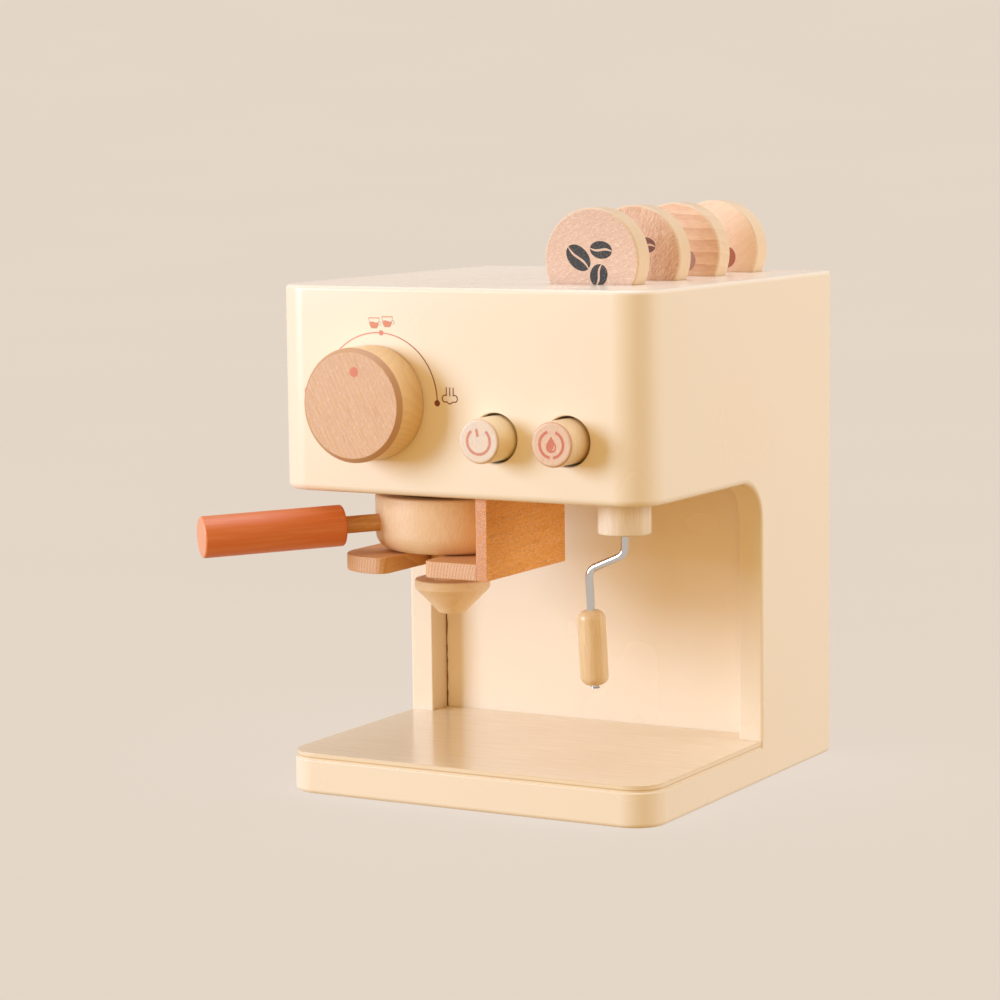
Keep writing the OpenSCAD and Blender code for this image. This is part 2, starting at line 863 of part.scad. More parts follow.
module handle_dowel() {
    color(birch)
    on_handle()
        bar([0, -grip_start - grip_socket + end_gap, 0], "y", handle_dowel_d / 2,
            grip_start + grip_socket - dowel_start - 2 * end_gap);
}

module handle_grip() {
    color(terracotta)
    on_handle()
        difference() {
            translate([0, -grip_start, 0]) rotate([90, 0, 0])
                turned_rod(grip_d / 2, grip_l, grip_edge_r, grip_edge_r);
            bar([0, -grip_start - grip_socket, 0], "y", handle_dowel_d / 2 + glue_gap,
                grip_socket + over);
        }
}

// ---- Steam wand ----------------------------------------------------------

module wand_collar() {
    color(birch)
    difference() {
        translate([wand_x, wand_y, collar_z]) {
            cylinder(d = collar_d, h = collar_h);
            cylinder(d = collar_peg_d, h = collar_h + floor_t);
        }
        bar([wand_x, wand_y, collar_z - over], "z", wand_wire_d / 2 + run_gap,
            collar_h + floor_t + 2 * over);
    }
}

// Moves a part that is drawn down along -Z from the lower knee into place
module on_lower_wire() {
    translate([wand_x - wand_offset, wand_y, upper_knee_z - wand_fall])
        rotate([0, -wand_lean, 0]) children();
}

// Bend in the plane of X and Z, with its centre at the origin
module wire_bend(turn, angle) {
    rotate(turn) rotate_extrude(angle = angle)
        translate([bend_mid_r, 0]) circle(wand_wire_d / 2);
}

// Ball that makes a bend and the straight run beside it one solid
module bend_end(z) {
    translate([0, 0, z]) sphere(wand_wire_d / 2 + bend_swell);
}

module wand_wire() {
    r = wand_wire_d / 2;
    upper_start_z = upper_knee_z + upper_tangent;
    run = wand_leg + wand_grip_l + wire_tail;
    color(steel) {
        bar([wand_x, wand_y, upper_start_z], "z", r, wire_top_z - upper_start_z);
        translate([wand_x - bend_mid_r, wand_y, upper_start_z])
            wire_bend([-90, 0, 0], upper_bend);
        translate([wand_x, wand_y, upper_knee_z]) {
            bend_end(upper_tangent);
            rotate([0, upper_bend, 0]) {
                bar([0, 0, lower_tangent - slant_l], "z", r,
                    slant_l - upper_tangent - lower_tangent);
                bend_end(-upper_tangent);
                bend_end(lower_tangent - slant_l);
            }
        }
        on_lower_wire() {
            bend_end(-lower_tangent);
            translate([bend_mid_r, 0, -lower_tangent]) wire_bend([90, 0, 180], lower_bend);
            bar([0, 0, -run], "z", r, run - lower_tangent);
            translate([0, 0, -run - rivet_t])
                cylinder(d1 = wand_wire_d + rivet_over, d2 = wand_wire_d + rivet_over + rivet_flare,
                         h = rivet_t);
        }
    }
}

module wand_clip() {
    color(steel)
    difference() {
        bar([wand_x, wand_y, floor_top_z + face_gap], "z", wand_clip_d / 2, wand_clip_t);
        bar([wand_x, wand_y, floor_top_z], "z", wand_wire_d / 2, wand_clip_t + over);
    }
}

module wand_grip() {
    color(beech)
    on_lower_wire()
        translate([0, 0, -wand_leg - wand_grip_l])
            difference() {
                turned_rod(wand_grip_d / 2, wand_grip_l, wand_grip_r, wand_grip_r);
                translate([0, 0, -over])
                    cylinder(r = wand_wire_d / 2 + run_gap, h = wand_grip_l + 2 * over);
            }
}

// ---- The machine ---------------------------------------------------------

base_board();
tray_plate();
left_side_panel();
right_side_panel();
front_panel();
top_panel();
head_floor();
column_panel();
rear_panel();
button_guide();
panel_dowels();
base_screws();
holder_wall();
holder_plate();
holder_dowels();
holder_screws();
knob();
knob_axle();
knob_retainer();
power_button();
power_plunger();
power_spring();
water_button();
water_plunger();
water_spring();
coffee_disc_1();
coffee_disc_2();
coffee_disc_3();
coffee_disc_4();
filter_cup();
filter_neck();
spout_cone();
handle_dowel();
handle_grip();
wand_collar();
wand_wire();
wand_clip();
wand_grip();
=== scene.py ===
"""Looks of a toy coffee maker in painted board and turned beech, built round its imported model.

Sizes here are in millimetres, and a mesh becomes metres when its piece is added to the scene.
The frame is the model's own: the front looks along -Y, the machine's right side is +X, up is +Z.
"""
import logging
import math
import random
from collections.abc import Callable, Sequence
from dataclasses import dataclass
from enum import Enum

import bmesh
import bpy
from mathutils import Matrix, Vector


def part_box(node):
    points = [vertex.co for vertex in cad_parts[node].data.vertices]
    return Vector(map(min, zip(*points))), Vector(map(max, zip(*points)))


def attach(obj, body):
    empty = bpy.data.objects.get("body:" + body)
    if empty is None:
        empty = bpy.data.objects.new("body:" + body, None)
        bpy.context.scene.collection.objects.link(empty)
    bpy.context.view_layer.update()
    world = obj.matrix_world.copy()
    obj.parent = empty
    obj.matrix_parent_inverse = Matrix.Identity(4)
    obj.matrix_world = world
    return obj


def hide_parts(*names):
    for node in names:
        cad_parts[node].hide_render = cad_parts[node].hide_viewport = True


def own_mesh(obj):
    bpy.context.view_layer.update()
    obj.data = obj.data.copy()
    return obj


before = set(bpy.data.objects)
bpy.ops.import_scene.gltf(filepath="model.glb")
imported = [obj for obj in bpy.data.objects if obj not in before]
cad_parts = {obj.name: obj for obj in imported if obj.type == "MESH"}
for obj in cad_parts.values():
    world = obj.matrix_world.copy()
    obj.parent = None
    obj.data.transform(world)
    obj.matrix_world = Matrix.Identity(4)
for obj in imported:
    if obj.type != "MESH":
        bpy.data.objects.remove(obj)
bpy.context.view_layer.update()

MM = 0.001              # metres in a millimetre
PLANE = 0.01            # how near a point lies to a plane that it counts as on, in mm
FIT_GAP = 0.05          # between a rod and its hole, in mm
PAST = 1.0              # how far a cut runs past the face that it opens, in mm
ARRIS = 0.3             # radius of a turned edge that only sandpaper has touched, in mm
ARC_STEP = math.radians(7.5)    # the most that a rounded corner turns from point to point
SHARP = math.radians(32)    # edges that turn more than this stay crisp
EASE_STEPS = 4          # segments across an eased edge
SPIN = 96               # segments round a turned piece
SPIN_WIDE = 144         # the same for a wide one
DISC_SPIN = 128         # and for a disc
ROD_SPIN = 48           # and for a thin rod
INK_T = 0.04            # thickness of a print, drawn thicker than real ink so that it shows
BODY = "body"           # the body that everything fixed rides on

log = logging.getLogger("coffee_maker")

Where = Callable[[Vector, Vector], float]      # gives an edge's radius from its two ends
Point = tuple[float, float]
Bow = tuple[float, float, float]    # an arc's radius, first angle and last angle in degrees


# ---- Shapes --------------------------------------------------------------


class Along(Enum):
    """The axis that an outline is extruded along. Its own u and v are the other two, in order."""

    X = "x"
    Y = "y"
    Z = "z"

    def point(self, u: float, v: float, w: float) -> Vector:
        """Returns the point that lies at u and v in the outline and at w along the axis."""
        if self is Along.X:
            return Vector((w, u, v))
        if self is Along.Y:
            return Vector((u, w, v))
        return Vector((u, v, w))


@dataclass(frozen=True)
class Extent:
    """Lowest and highest corner of a node of the model, in millimetres."""

    low: Vector
    high: Vector

    @classmethod
    def of(cls, node: str) -> "Extent":
        """Returns the extent of the node with that name."""
        low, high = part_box(node)
        return cls(low / MM, high / MM)

    @property
    def middle(self) -> Vector:
        """The point halfway between the two corners."""
        return (self.low + self.high) / 2

    @property
    def size(self) -> Vector:
        """The lengths of the three sides."""
        return self.high - self.low


@dataclass(frozen=True)
class Corner:
    """A corner of an outline or a profile, rounded with a radius."""

    u: float
    v: float
    radius: float = 0.0


def rounded(corners: Sequence[Corner], closed: bool = True) -> list[Point]:
    """Turns corners into points, with an arc for each radius.

    Args:
        corners: The corners in order.
        closed: Whether the last corner joins the first one.

    Returns:
        The points of the outline.
    """
    points: list[Point] = []
    last = len(corners) - 1
    for i, corner in enumerate(corners):
        here = Vector((corner.u, corner.v))
        if corner.radius <= 0 or (not closed and i in (0, last)):
            points.append((corner.u, corner.v))
            continue
        before, after = corners[i - 1], corners[0 if i == last else i + 1]
        back = (Vector((before.u, before.v)) - here).normalized()
        ahead = (Vector((after.u, after.v)) - here).normalized()
        half = back.angle(ahead) / 2
        centre = here + (back + ahead).normalized() * corner.radius / math.sin(half)
        start = here + back * corner.radius / math.tan(half) - centre
        turn = math.pi - 2 * half
        side = 1 if back.x * ahead.y - back.y * ahead.x < 0 else -1
        steps = max(2, math.ceil(turn / ARC_STEP))
        for k in range(steps + 1):
            spoke = Matrix.Rotation(side * turn * k / steps, 2) @ start
            points.append(tuple(centre + spoke))
    return points


def arc(centre: Point, radius: float, start: float, end: float, step: float = 6) -> list[Point]:
    """Returns points on a circle's arc.

    Args:
        centre: The middle of the circle.
        radius: Its radius.
        start: The first point's angle in degrees, anticlockwise from the right.
        end: The last point's angle in degrees.
        step: The most degrees between two points.

    Returns:
        The points from start to end.
    """
    steps = max(1, math.ceil(abs(end - start) / step))
    angles = [math.radians(start + (end - start) * k / steps) for k in range(steps + 1)]
    return [(centre[0] + radius * math.cos(a), centre[1] + radius * math.sin(a)) for a in angles]


def circle(centre: Point, radius: float, step: float = 15) -> list[Point]:
    """Returns the points of a whole circle, with that many degrees between two of them."""
    return arc(centre, radius, 0, 360 - step, step)


class Shape:
    """A mesh in the making, in millimetres, with the holes to cut and the edges to ease."""

    def __init__(self) -> None:
        """Starts an empty shape."""
        self.mesh = bmesh.new()
        self.cutters: list["Shape"] = []
        self.widest_ease = 0.0

    def prism(self, outline: Sequence[Point], low: float, high: float, along: Along) -> "Shape":
        """Adds an outline extruded from low to high along an axis, and returns the shape."""
        return self.skin([[self.mesh.verts.new(along.point(u, v, w)) for u, v in outline]
                          for w in (low, high)])

    def block(self, low: Sequence[float], high: Sequence[float]) -> "Shape":
        """Adds a board with square corners between two corner points, and returns the shape."""
        outline = [(low[0], low[1]), (high[0], low[1]), (high[0], high[1]), (low[0], high[1])]
        return self.prism(outline, low[2], high[2], Along.Z)

    def line(self, path: Sequence[Point], width: float, low: float, high: float, along: Along,
             closed: bool = False) -> "Shape":
        """Adds a thin line of even width, as a closed solid.

        Args:
            path: The middle of the line.
            width: Its width.
            low: Where the solid starts along the axis.
            high: Where it ends along the axis.
            along: The axis that the line is extruded along.
            closed: Whether the line runs back into its start.

        Returns:
            The shape itself.
        """
        count = len(path)
        rings = []
        for k, (u, v) in enumerate(path):
            before = path[k - 1] if closed or k > 0 else path[k]
            after = path[(k + 1) % count] if closed or k < count - 1 else path[k]
            ahead = Vector((after[0] - before[0], after[1] - before[1])).normalized()
            side = Vector((-ahead.y, ahead.x)) * width / 2
            flat = ((u + side.x, v + side.y), (u - side.x, v - side.y))
            rings.append([self.mesh.verts.new(along.point(*flat[i], w))
                          for i, w in ((0, low), (1, low), (1, high), (0, high))])
        return self.skin(rings, closed)

    def bridge(self, ring: Sequence, other: Sequence) -> None:
        """Joins two rings of vertices with a band of faces."""
        for k in range(len(ring)):
            n = (k + 1) % len(ring)
            self.mesh.faces.new((ring[k], ring[n], other[n], other[k]))

    def skin(self, rings: Sequence, closed: bool = False) -> "Shape":
        """Joins rings of vertices into a solid.

        Args:
            rings: The rings in order.
            closed: Whether the last ring joins the first one. Otherwise both get a cap.

        Returns:
            The shape itself.
        """
        for ring, other in zip(rings, rings[1:]):
            self.bridge(ring, other)
        if closed:
            self.bridge(rings[-1], rings[0])
        else:
            self.mesh.faces.new(list(reversed(rings[0])))
            self.mesh.faces.new(rings[-1])
        return self

    def turned(self, profile: Sequence[Corner], place: Matrix, spin: int = SPIN) -> "Shape":
        """Adds a solid turned round an axis.

        Args:
            profile: The half profile, from one flat end to the other. The u of a corner is its
                radius from the axis and the v its height along it.
            place: Where the axis lies: the solid is drawn along +Z and then moved with this matrix.
            spin: The number of segments round the axis.

        Returns:
            The shape itself.
        """
        angles = [2 * math.pi * k / spin for k in range(spin)]
        return self.skin([
            [self.mesh.verts.new(place @ Vector((r * math.cos(a), r * math.sin(a), h))) for a in angles]
            for r, h in rounded(profile, closed=False)])

    def tube(self, path: Sequence[Vector], radius: float, flat: Vector, sides: int = 24) -> "Shape":
        """Adds a round wire along a path that lies in one plane.

        Args:
            path: The points that the wire's middle follows.
            radius: The wire's radius.
            flat: The normal of the path's plane.
            sides: The number of segments round the wire.

        Returns:
            The shape itself.
        """
        rings = []
        last = len(path) - 1
        for k, point in enumerate(path):
            ahead = (path[min(k + 1, last)] - path[max(k - 1, 0)]).normalized()
            across = ahead.cross(flat)
            spokes = [2 * math.pi * s / sides for s in range(sides)]
            rings.append([
                self.mesh.verts.new(point + radius * (math.cos(a) * across + math.sin(a) * flat))
                for a in spokes
            ])
        return self.skin(rings)

    def coil(self, radius: float, wire_r: float, turns: float, place: Matrix, length: float,
             sides: int = 12, steps: int = 32) -> "Shape":
        """Adds a round wire wound into a spring.

        Args:
            radius: From the spring's axis to the wire's middle.
            wire_r: The wire's radius.
            turns: How often it goes round.
            place: Where the axis lies: the spring is drawn along +Z and then moved with this matrix.
            length: The length from end to end.
            sides: The number of segments round the wire.
            steps: The number of segments in one turn.

        Returns:
            The shape itself.
        """
        count = round(turns * steps)
        climb = length - 2 * wire_r
        rings = []
        for k in range(count + 1):
            a = 2 * math.pi * turns * k / count
            out = Vector((math.cos(a), math.sin(a), 0))
            middle = out * radius + Vector((0, 0, wire_r + climb * k / count))
            ring = []
            for s in range(sides):
                b = 2 * math.pi * s / sides
                spoke = wire_r * (math.cos(b) * out + math.sin(b) * Vector((0, 0, 1)))
                ring.append(self.mesh.verts.new(place @ (middle + spoke)))
            rings.append(ring)
        return self.skin(rings)

    def cut(self, cutter: "Shape") -> "Shape":
        """Remembers a shape that is taken out of this one, and returns the shape."""
        self.cutters.append(cutter)
        return self

    def ease(self, where: Where) -> "Shape":
        """Rounds edges.

        Args:
            where: Gives the radius for a crisp edge from its two ends, and 0 to leave it alone.

        Returns:
            The shape itself.
        """
        bmesh.ops.recalc_face_normals(self.mesh, faces=self.mesh.faces)
        layer = self.mesh.edges.layers.float.new("bevel_weight_edge")
        crisp = [e for e in self.mesh.edges if e.is_manifold and e.calc_face_angle(0.0) > SHARP]
        radii = {e: where(e.verts[0].co, e.verts[1].co) for e in crisp}
        self.widest_ease = max(radii.values(), default=0.0)
        for edge, radius in radii.items():
            edge[layer] = radius / self.widest_ease if radius else 0.0
        return self

    def loose(self, name: str) -> bpy.types.Object:
        """Makes an object of the shape, in metres, with its edges eased and its holes cut."""
        bmesh.ops.recalc_face_normals(self.mesh, faces=self.mesh.faces)
        self.mesh.transform(Matrix.Scale(MM, 4))
        data = bpy.data.meshes.new(name)
        self.mesh.to_mesh(data)
        self.mesh.free()
        made = bpy.data.objects.new(name, data)
        bpy.context.scene.collection.objects.link(made)
        if self.widest_ease > 0:
            ease = made.modifiers.new("ease", "BEVEL")
            ease.limit_method = "WEIGHT"
            ease.width = self.widest_ease * MM
            ease.segments = EASE_STEPS
            ease.use_clamp_overlap = False
        tools = [cutter.loose(f"{name}_cutter_{k}") for k, cutter in enumerate(self.cutters)]
        for tool in tools:
            hole = made.modifiers.new(tool.name, "BOOLEAN")
            hole.operation = "DIFFERENCE"
            hole.solver = "EXACT"
            hole.object = tool
        settle(made)
        for tool in tools:
            data = tool.data
            bpy.data.objects.remove(tool)
            bpy.data.meshes.remove(data)
        return made


class Print(Shape):
    """A print on a face that looks to the front, as a solid of the ink's thickness."""

    def __init__(self, face_y: float, thickness: float = INK_T) -> None:
        """Starts an empty print on the face that lies at that depth."""
        super().__init__()
        self.face_y = face_y
        self.outer_y = face_y - thickness

    def stroke(self, path: Sequence[Point], width: float, closed: bool = False) -> "Print":
        """Prints a line of even width along a path, and returns the print."""
        self.line(path, width, self.outer_y, self.face_y, Along.Y, closed)
        return self

    def fill(self, outline: Sequence[Point], rise: float = 0.0) -> "Print":
        """Prints an area, which may rise over the rest, and returns the print."""
        self.prism(outline, self.outer_y - rise, self.face_y, Along.Y)
        return self


def settle(made: bpy.types.Object) -> None:
    """Turns an object's modifiers into its mesh."""
    if not made.modifiers:
        return
    graph = bpy.context.evaluated_depsgraph_get()
    baked = bpy.data.meshes.new_from_object(made.evaluated_get(graph))
    rough = made.data
    made.modifiers.clear()
    made.data = baked
    bpy.data.meshes.remove(rough)


def add_piece(name: str, shape: Shape, body: str, finish: bpy.types.Material,
              stands_for: Sequence[str] = ()) -> bpy.types.Object:
    """Adds a finished piece to the scene.

    Args:
        name: The piece's name.
        shape: Its shape, in millimetres.
        body: The body that it moves with.
        finish: Its material.
        stands_for: The nodes of the model that it is shown instead of.

    Returns:
        The piece.
    """
    made = shape.loose(name)
    made.data.materials.clear()
    made.data.materials.append(finish)
    made.data.shade_smooth()
    made.data.set_sharp_from_angle(angle=SHARP)
    flats = made.modifiers.new("flat_faces", "WEIGHTED_NORMAL")
    flats.keep_sharp = True
    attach(made, body)
    if stands_for:
        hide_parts(*stands_for)
    lit_with_object(made)
    log.info("%s: %d faces in %s, rides on %s", name, len(made.data.polygons), finish.name, body)
    return made


def add_print(name: str, shape: Print, body: str, ink: bpy.types.Material) -> None:
    """Adds a print in its own ink. Counts with the wood because the record has no slot
    for ink.
    """
    add_piece(name, shape, body, ink)


def dress_node(node: str, finish: bpy.types.Material) -> None:
    """Gives a node of the model, which is shown as it is, a finish."""
    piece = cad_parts[node]
    piece.data.materials.clear()
    piece.data.materials.append(finish)
    lit_with_object(piece)
    log.info("%s: the model's own solid in %s", node, finish.name)


def lit_with_object(piece: bpy.types.Object) -> None:
    """Puts a piece among those that the studio lamps shine on."""
    group = bpy.data.collections.get("machine")
    if group is None:
        group = bpy.data.collections.new("machine")
    group.objects.link(piece)


# ---- Node helpers --------------------------------------------------------

MIX_A, MIX_B, MIX_OUT = 6, 7, 2     # a Mix node's colour sockets
NOISE = (0.3, 0.7)                  # nearly all values of a noise lie between these
NOISE_CORE = (0.35, 0.65)           # and most of them between these
COAT_IOR = 1.5                      # of paint, lacquer, oil and ink


def linear(code: str) -> tuple[float, float, float, float]:
    """Turns an sRGB colour such as #F7E3C9 into the linear one that a shader works in."""
    parts = [int(code[k:k + 2], 16) / 255 for k in (1, 3, 5)]
    light = [c / 12.92 if c <= 0.04045 else ((c + 0.055) / 1.055) ** 2.4 for c in parts]
    return (light[0], light[1], light[2], 1.0)


def add_node(tree: bpy.types.NodeTree, kind: str, settings: dict | None = None,
             inputs: dict | None = None) -> bpy.types.Node:
    """Adds a node to a material.

    Args:
        tree: The material's node tree.
        kind: The node's type.
        settings: Its settings, by name.
        inputs: A value or another node's output for each of its inputs, by name or number.

    Returns:
        The node.
    """
    node = tree.nodes.new(kind)
    for name, value in (settings or {}).items():
        setattr(node, name, value)
    for name, value in (inputs or {}).items():
        if isinstance(value, bpy.types.NodeSocket):
            tree.links.new(value, node.inputs[name])
        else:
            node.inputs[name].default_value = value
    return node


def new_tree(name: str) -> tuple[bpy.types.Material, bpy.types.NodeTree]:
    """Returns a new material with an empty node tree, and that tree."""
    made = bpy.data.materials.new(name)
    made.use_nodes = True
    made.node_tree.nodes.clear()
    return made, made.node_tree


def surface(tree: bpy.types.NodeTree, inputs: dict) -> None:
    """Ends a node tree with a Principled shader that has these inputs."""
    shader = add_node(tree, "ShaderNodeBsdfPrincipled", inputs={"IOR": COAT_IOR, **inputs})
    add_node(tree, "ShaderNodeOutputMaterial", inputs={"Surface": shader.outputs["BSDF"]})


def in_mm(tree: bpy.types.NodeTree) -> bpy.types.NodeSocket:
    """Returns the place on the piece in millimetres, in the model's frame at rest."""
    place = add_node(tree, "ShaderNodeTexCoord")
    return add_node(tree, "ShaderNodeVectorMath", {"operation": "SCALE"},
                    {0: place.outputs["Object"], "Scale": 1 / MM}).outputs[0]


def mixed(tree: bpy.types.NodeTree, share: object, low: object,
          high: object) -> bpy.types.NodeSocket:
    """Returns a mix of two colours.

    Args:
        tree: The material's node tree.
        share: How much of the second colour there is, from 0 to 1, or an output that gives it.
        low: The first colour's sRGB code, or an output that gives it.
        high: The second colour's sRGB code, or an output that gives it.

    Returns:
        The output that gives the mix.
    """
    low, high = (linear(colour) if isinstance(colour, str) else colour for colour in (low, high))
    node = add_node(tree, "ShaderNodeMix", {"data_type": "RGBA"}, {0: share, MIX_A: low, MIX_B: high})
    return node.outputs[MIX_OUT]


def calculated(tree: bpy.types.NodeTree, operation: str, *values: object) -> bpy.types.NodeSocket:
    """Returns what a Math node makes of these numbers or outputs."""
    return add_node(tree, "ShaderNodeMath", {"operation": operation},
                    dict(enumerate(values))).outputs[0]


def vectors(tree: bpy.types.NodeTree, operation: str, *values: object) -> bpy.types.NodeSocket:
    """Returns what a Vector Math node makes of these vectors or outputs."""
    node = add_node(tree, "ShaderNodeVectorMath", {"operation": operation}, dict(enumerate(values)))
    return node.outputs["Value" if operation == "DOT_PRODUCT" else "Vector"]


def facing(tree: bpy.types.NodeTree, axis: Sequence[float]) -> bpy.types.NodeSocket:
    """Returns the cosine of the angle between the surface's normal and an axis."""
    normal = add_node(tree, "ShaderNodeTexCoord").outputs["Normal"]
    return vectors(tree, "DOT_PRODUCT", normal, Vector(axis).normalized())


def noise(tree: bpy.types.NodeTree, place: bpy.types.NodeSocket, width: float,
          detail: float) -> bpy.types.NodeSocket:
    """Returns a noise with lumps of about that width and so many octaves of finer noise."""
    return add_node(tree, "ShaderNodeTexNoise", inputs={
        "Vector": place, "Scale": 1 / width, "Detail": detail}).outputs[0]


def bumps(tree: bpy.types.NodeTree, height: bpy.types.NodeSocket, depth_mm: float,
          strength: float = 1.0) -> bpy.types.NodeSocket:
    """Returns the normals of a surface that rises and falls with height, by depth_mm at most."""
    return add_node(tree, "ShaderNodeBump", inputs={
        "Height": height, "Distance": depth_mm * MM, "Strength": strength}).outputs[0]


def spread(tree: bpy.types.NodeTree, value: object, start: float, end: float, low: float = 0.0,
           high: object = 1.0) -> bpy.types.NodeSocket:
    """Returns an output that runs from low to high while value runs from start to end."""
    return add_node(tree, "ShaderNodeMapRange", {"interpolation_type": "SMOOTHSTEP"},
                    {0: value, 1: start, 2: end, 3: low, 4: high}).outputs[0]


# ---- Finishes ------------------------------------------------------------


@dataclass(frozen=True)
class SatinEnamel:
    """Satin enamel, sprayed on sanded and filled board."""

    name: str = "satin_enamel_sprayed_cream"
    colour: str = "#FAE9D1"
    settled: str = "#FAE8CF"    # where the paint lies a little thicker
    roughness: float = 0.27
    drift: float = 0.01         # how much the gloss differs between thin and thick paint
    cloud_mm: float = 60        # width of the soft differences in thickness
    peel_mm: float = 1.6        # width of the spray's orange peel
    peel_depth_mm: float = 0.006

    def material(self) -> bpy.types.Material:
        """Returns the finish as a material.

        A sprayed enamel looks even from a step away. Near by, its gloss breaks up on the fine
        orange peel, and its tone drifts a little where the coat is thicker.
        """
        made, tree = new_tree(self.name)
        place = in_mm(tree)
        cloud = noise(tree, place, self.cloud_mm, 2.0)
        peel = noise(tree, place, self.peel_mm, 1.0)
        colour = mixed(tree, spread(tree, cloud, *NOISE_CORE), self.colour, self.settled)
        rough = spread(tree, cloud, *NOISE, self.roughness - self.drift,
                       self.roughness + self.drift)
        surface(tree, {"Base Color": colour, "Roughness": rough,
                       "Normal": bumps(tree, peel, self.peel_depth_mm)})
        return made


@dataclass(frozen=True)
class Grain:
    """How a piece was cut from its board or rod."""

    fibres: tuple[float, float, float]          # the way that the fibres run
    cut: tuple[float, float, float]             # the axis of the sanded end faces
    pith: tuple[float, float, float] = (0.0, 70.0, 38.0)    # from the piece to the tree's middle


@dataclass(frozen=True)
class Timber:
    """Sanded and oiled wood."""

    name: str
    early: str          # pale wood between two rings
    late: str           # darker wood of a ring
    fleck: str          # the short rays and pores
    end: str            # sanded faces at the ends of the piece
    end_figure: float = 0.45    # how strongly the grain shows on those faces
    side_figure: float = 1.0    # and on the turned or long sides
    ring_mm: float = 3.2
    ring_share: float = 0.35    # how much of the tone comes from the rings
    warp_mm: float = 25.0       # width of the waves that bend the rings
    warp_depth_mm: float = 4.0
    fibre_mm: Point = (14.0, 0.5)       # length and width of a streak
    fleck_mm: Point = (3.2, 0.42)       # a real ray is finer, but would not show in the render
    fleck_share: float = 0.35
    ray: str = "#F8E4D0"        # rays that catch the light on a sanded face
    ray_mm: Point = (2.6, 0.38)
    ray_share: float = 0.3
    side_marks: float = 0.35    # share of the flecks and rays that the turned or long sides show
    rim: str | None = None      # a turned chamfer, darker all round: mostly painted shade, partly the oil in its cut fibres
    roughness: float = 0.46
    dull: Point = (-0.05, 0.07)         # how much glossier and duller single fibres are
    grain_depth_mm: float = 0.03
    grain_strength: float = 0.6
    fleck_at: Point = (0.60, 0.72)      # the noise where a fleck begins and where it is full
    ray_at: Point = (0.58, 0.72)
    end_at: Point = (0.8, 0.95)         # cosine of the tilt where a side turns into an end face
    rim_at: Point = (0.35, 0.6)         # the same where a side turns into a chamfer
    rim_to: Point = (0.8, 0.93)         # and a chamfer into an end face

    def material(self, node: str, grain: Grain) -> bpy.types.Material:
        """Makes the finish for one piece.

        Sanded beech shows soft bands of its rings, fine streaks along the fibres and short dark
        rays. Its end faces drink more oil, so they are pinker, and a turned chamfer is darker all
        round, mostly as painted shade and partly from the oil that its cut fibres drink.

        Args:
            node: The piece's node, which also ends the material's name.
            grain: How the piece was cut.

        Returns:
            The material.
        """
        made, tree = new_tree(f"{self.name}_{node}")
        lie = Vector(grain.fibres).normalized().rotation_difference(Vector((1, 0, 0))).to_euler()
        from_middle = vectors(tree, "SUBTRACT", in_mm(tree), Extent.of(node).middle)
        wood = add_node(tree, "ShaderNodeMapping", inputs={
            "Vector": from_middle, "Location": grain.pith, "Rotation": lie}).outputs[0]
        warp = add_node(tree, "ShaderNodeTexNoise", inputs={
            "Vector": wood, "Scale": 1 / self.warp_mm, "Detail": 2.0}).outputs["Color"]
        bent = vectors(tree, "MULTIPLY_ADD", warp, (0.0, self.warp_depth_mm, self.warp_depth_mm),
                       wood)
        # A wave texture's ring repeats every 2 pi / 20 of its scaled vector
        rings = add_node(tree, "ShaderNodeTexWave", {
            "wave_type": "RINGS", "rings_direction": "X", "wave_profile": "SAW"}, {
            "Vector": bent, "Scale": 2 * math.pi / 20 / self.ring_mm, "Distortion": 0.0})
        streak = self.stretched(tree, wood, self.fibre_mm, 3.0)
        dash = self.stretched(tree, wood, self.fleck_mm, 0.0)
        gleam = self.stretched(tree, wood, self.ray_mm, 0.0)
        tone = calculated(tree, "MULTIPLY_ADD", rings.outputs["Fac"], self.ring_share,
                          spread(tree, streak, *NOISE, 0, 1 - self.ring_share))
        side = mixed(tree, spread(tree, tone, 0, 1, 0, self.side_figure), self.early, self.late)
        face = mixed(tree, spread(tree, tone, 0, 1, 0, self.end_figure), self.end, self.late)
        tilt = calculated(tree, "ABSOLUTE", facing(tree, grain.cut))
        is_end = spread(tree, tilt, *self.end_at)
        ground = mixed(tree, is_end, side, face)
        # Painted shade: the chamfer band is darkened all round
        if self.rim:
            band = calculated(tree, "MULTIPLY", spread(tree, tilt, *self.rim_at),
                              spread(tree, tilt, *self.rim_to, 1, 0))
            ground = mixed(tree, band, ground, self.rim)
        flecks, rays = (
            spread(tree, marks, *seen, 0, spread(tree, is_end, 0, 1, share * self.side_marks, share))
            for marks, seen, share in ((dash, self.fleck_at, self.fleck_share),
                                       (gleam, self.ray_at, self.ray_share)))
        colour = mixed(tree, rays, mixed(tree, flecks, ground, self.fleck), self.ray)
        glossy, dull = (self.roughness + change for change in self.dull)
        relief = calculated(tree, "SUBTRACT", streak, flecks)
        surface(tree, {"Base Color": colour,
                       "Roughness": spread(tree, streak, *NOISE, glossy, dull),
                       "Normal": bumps(tree, relief, self.grain_depth_mm, self.grain_strength)})
        return made

    @staticmethod
    def stretched(tree: bpy.types.NodeTree, wood: bpy.types.NodeSocket, size: Point,
                  detail: float) -> bpy.types.NodeSocket:
        """Draws noise out along the fibres.

        Args:
            tree: The material's node tree.
            wood: The place in the wood, with the fibres along its first axis.
            size: Length and width of a streak.
            detail: How many octaves of finer noise are laid over the first.

        Returns:
            The output that gives the noise.
        """
        length, width = size
        drawn = vectors(tree, "MULTIPLY", wood, (1 / length, 1 / width, 1 / width))
        return add_node(tree, "ShaderNodeTexNoise", inputs={
            "Vector": drawn, "Scale": 1.0, "Detail": detail, "Roughness": 0.6}).outputs[0]


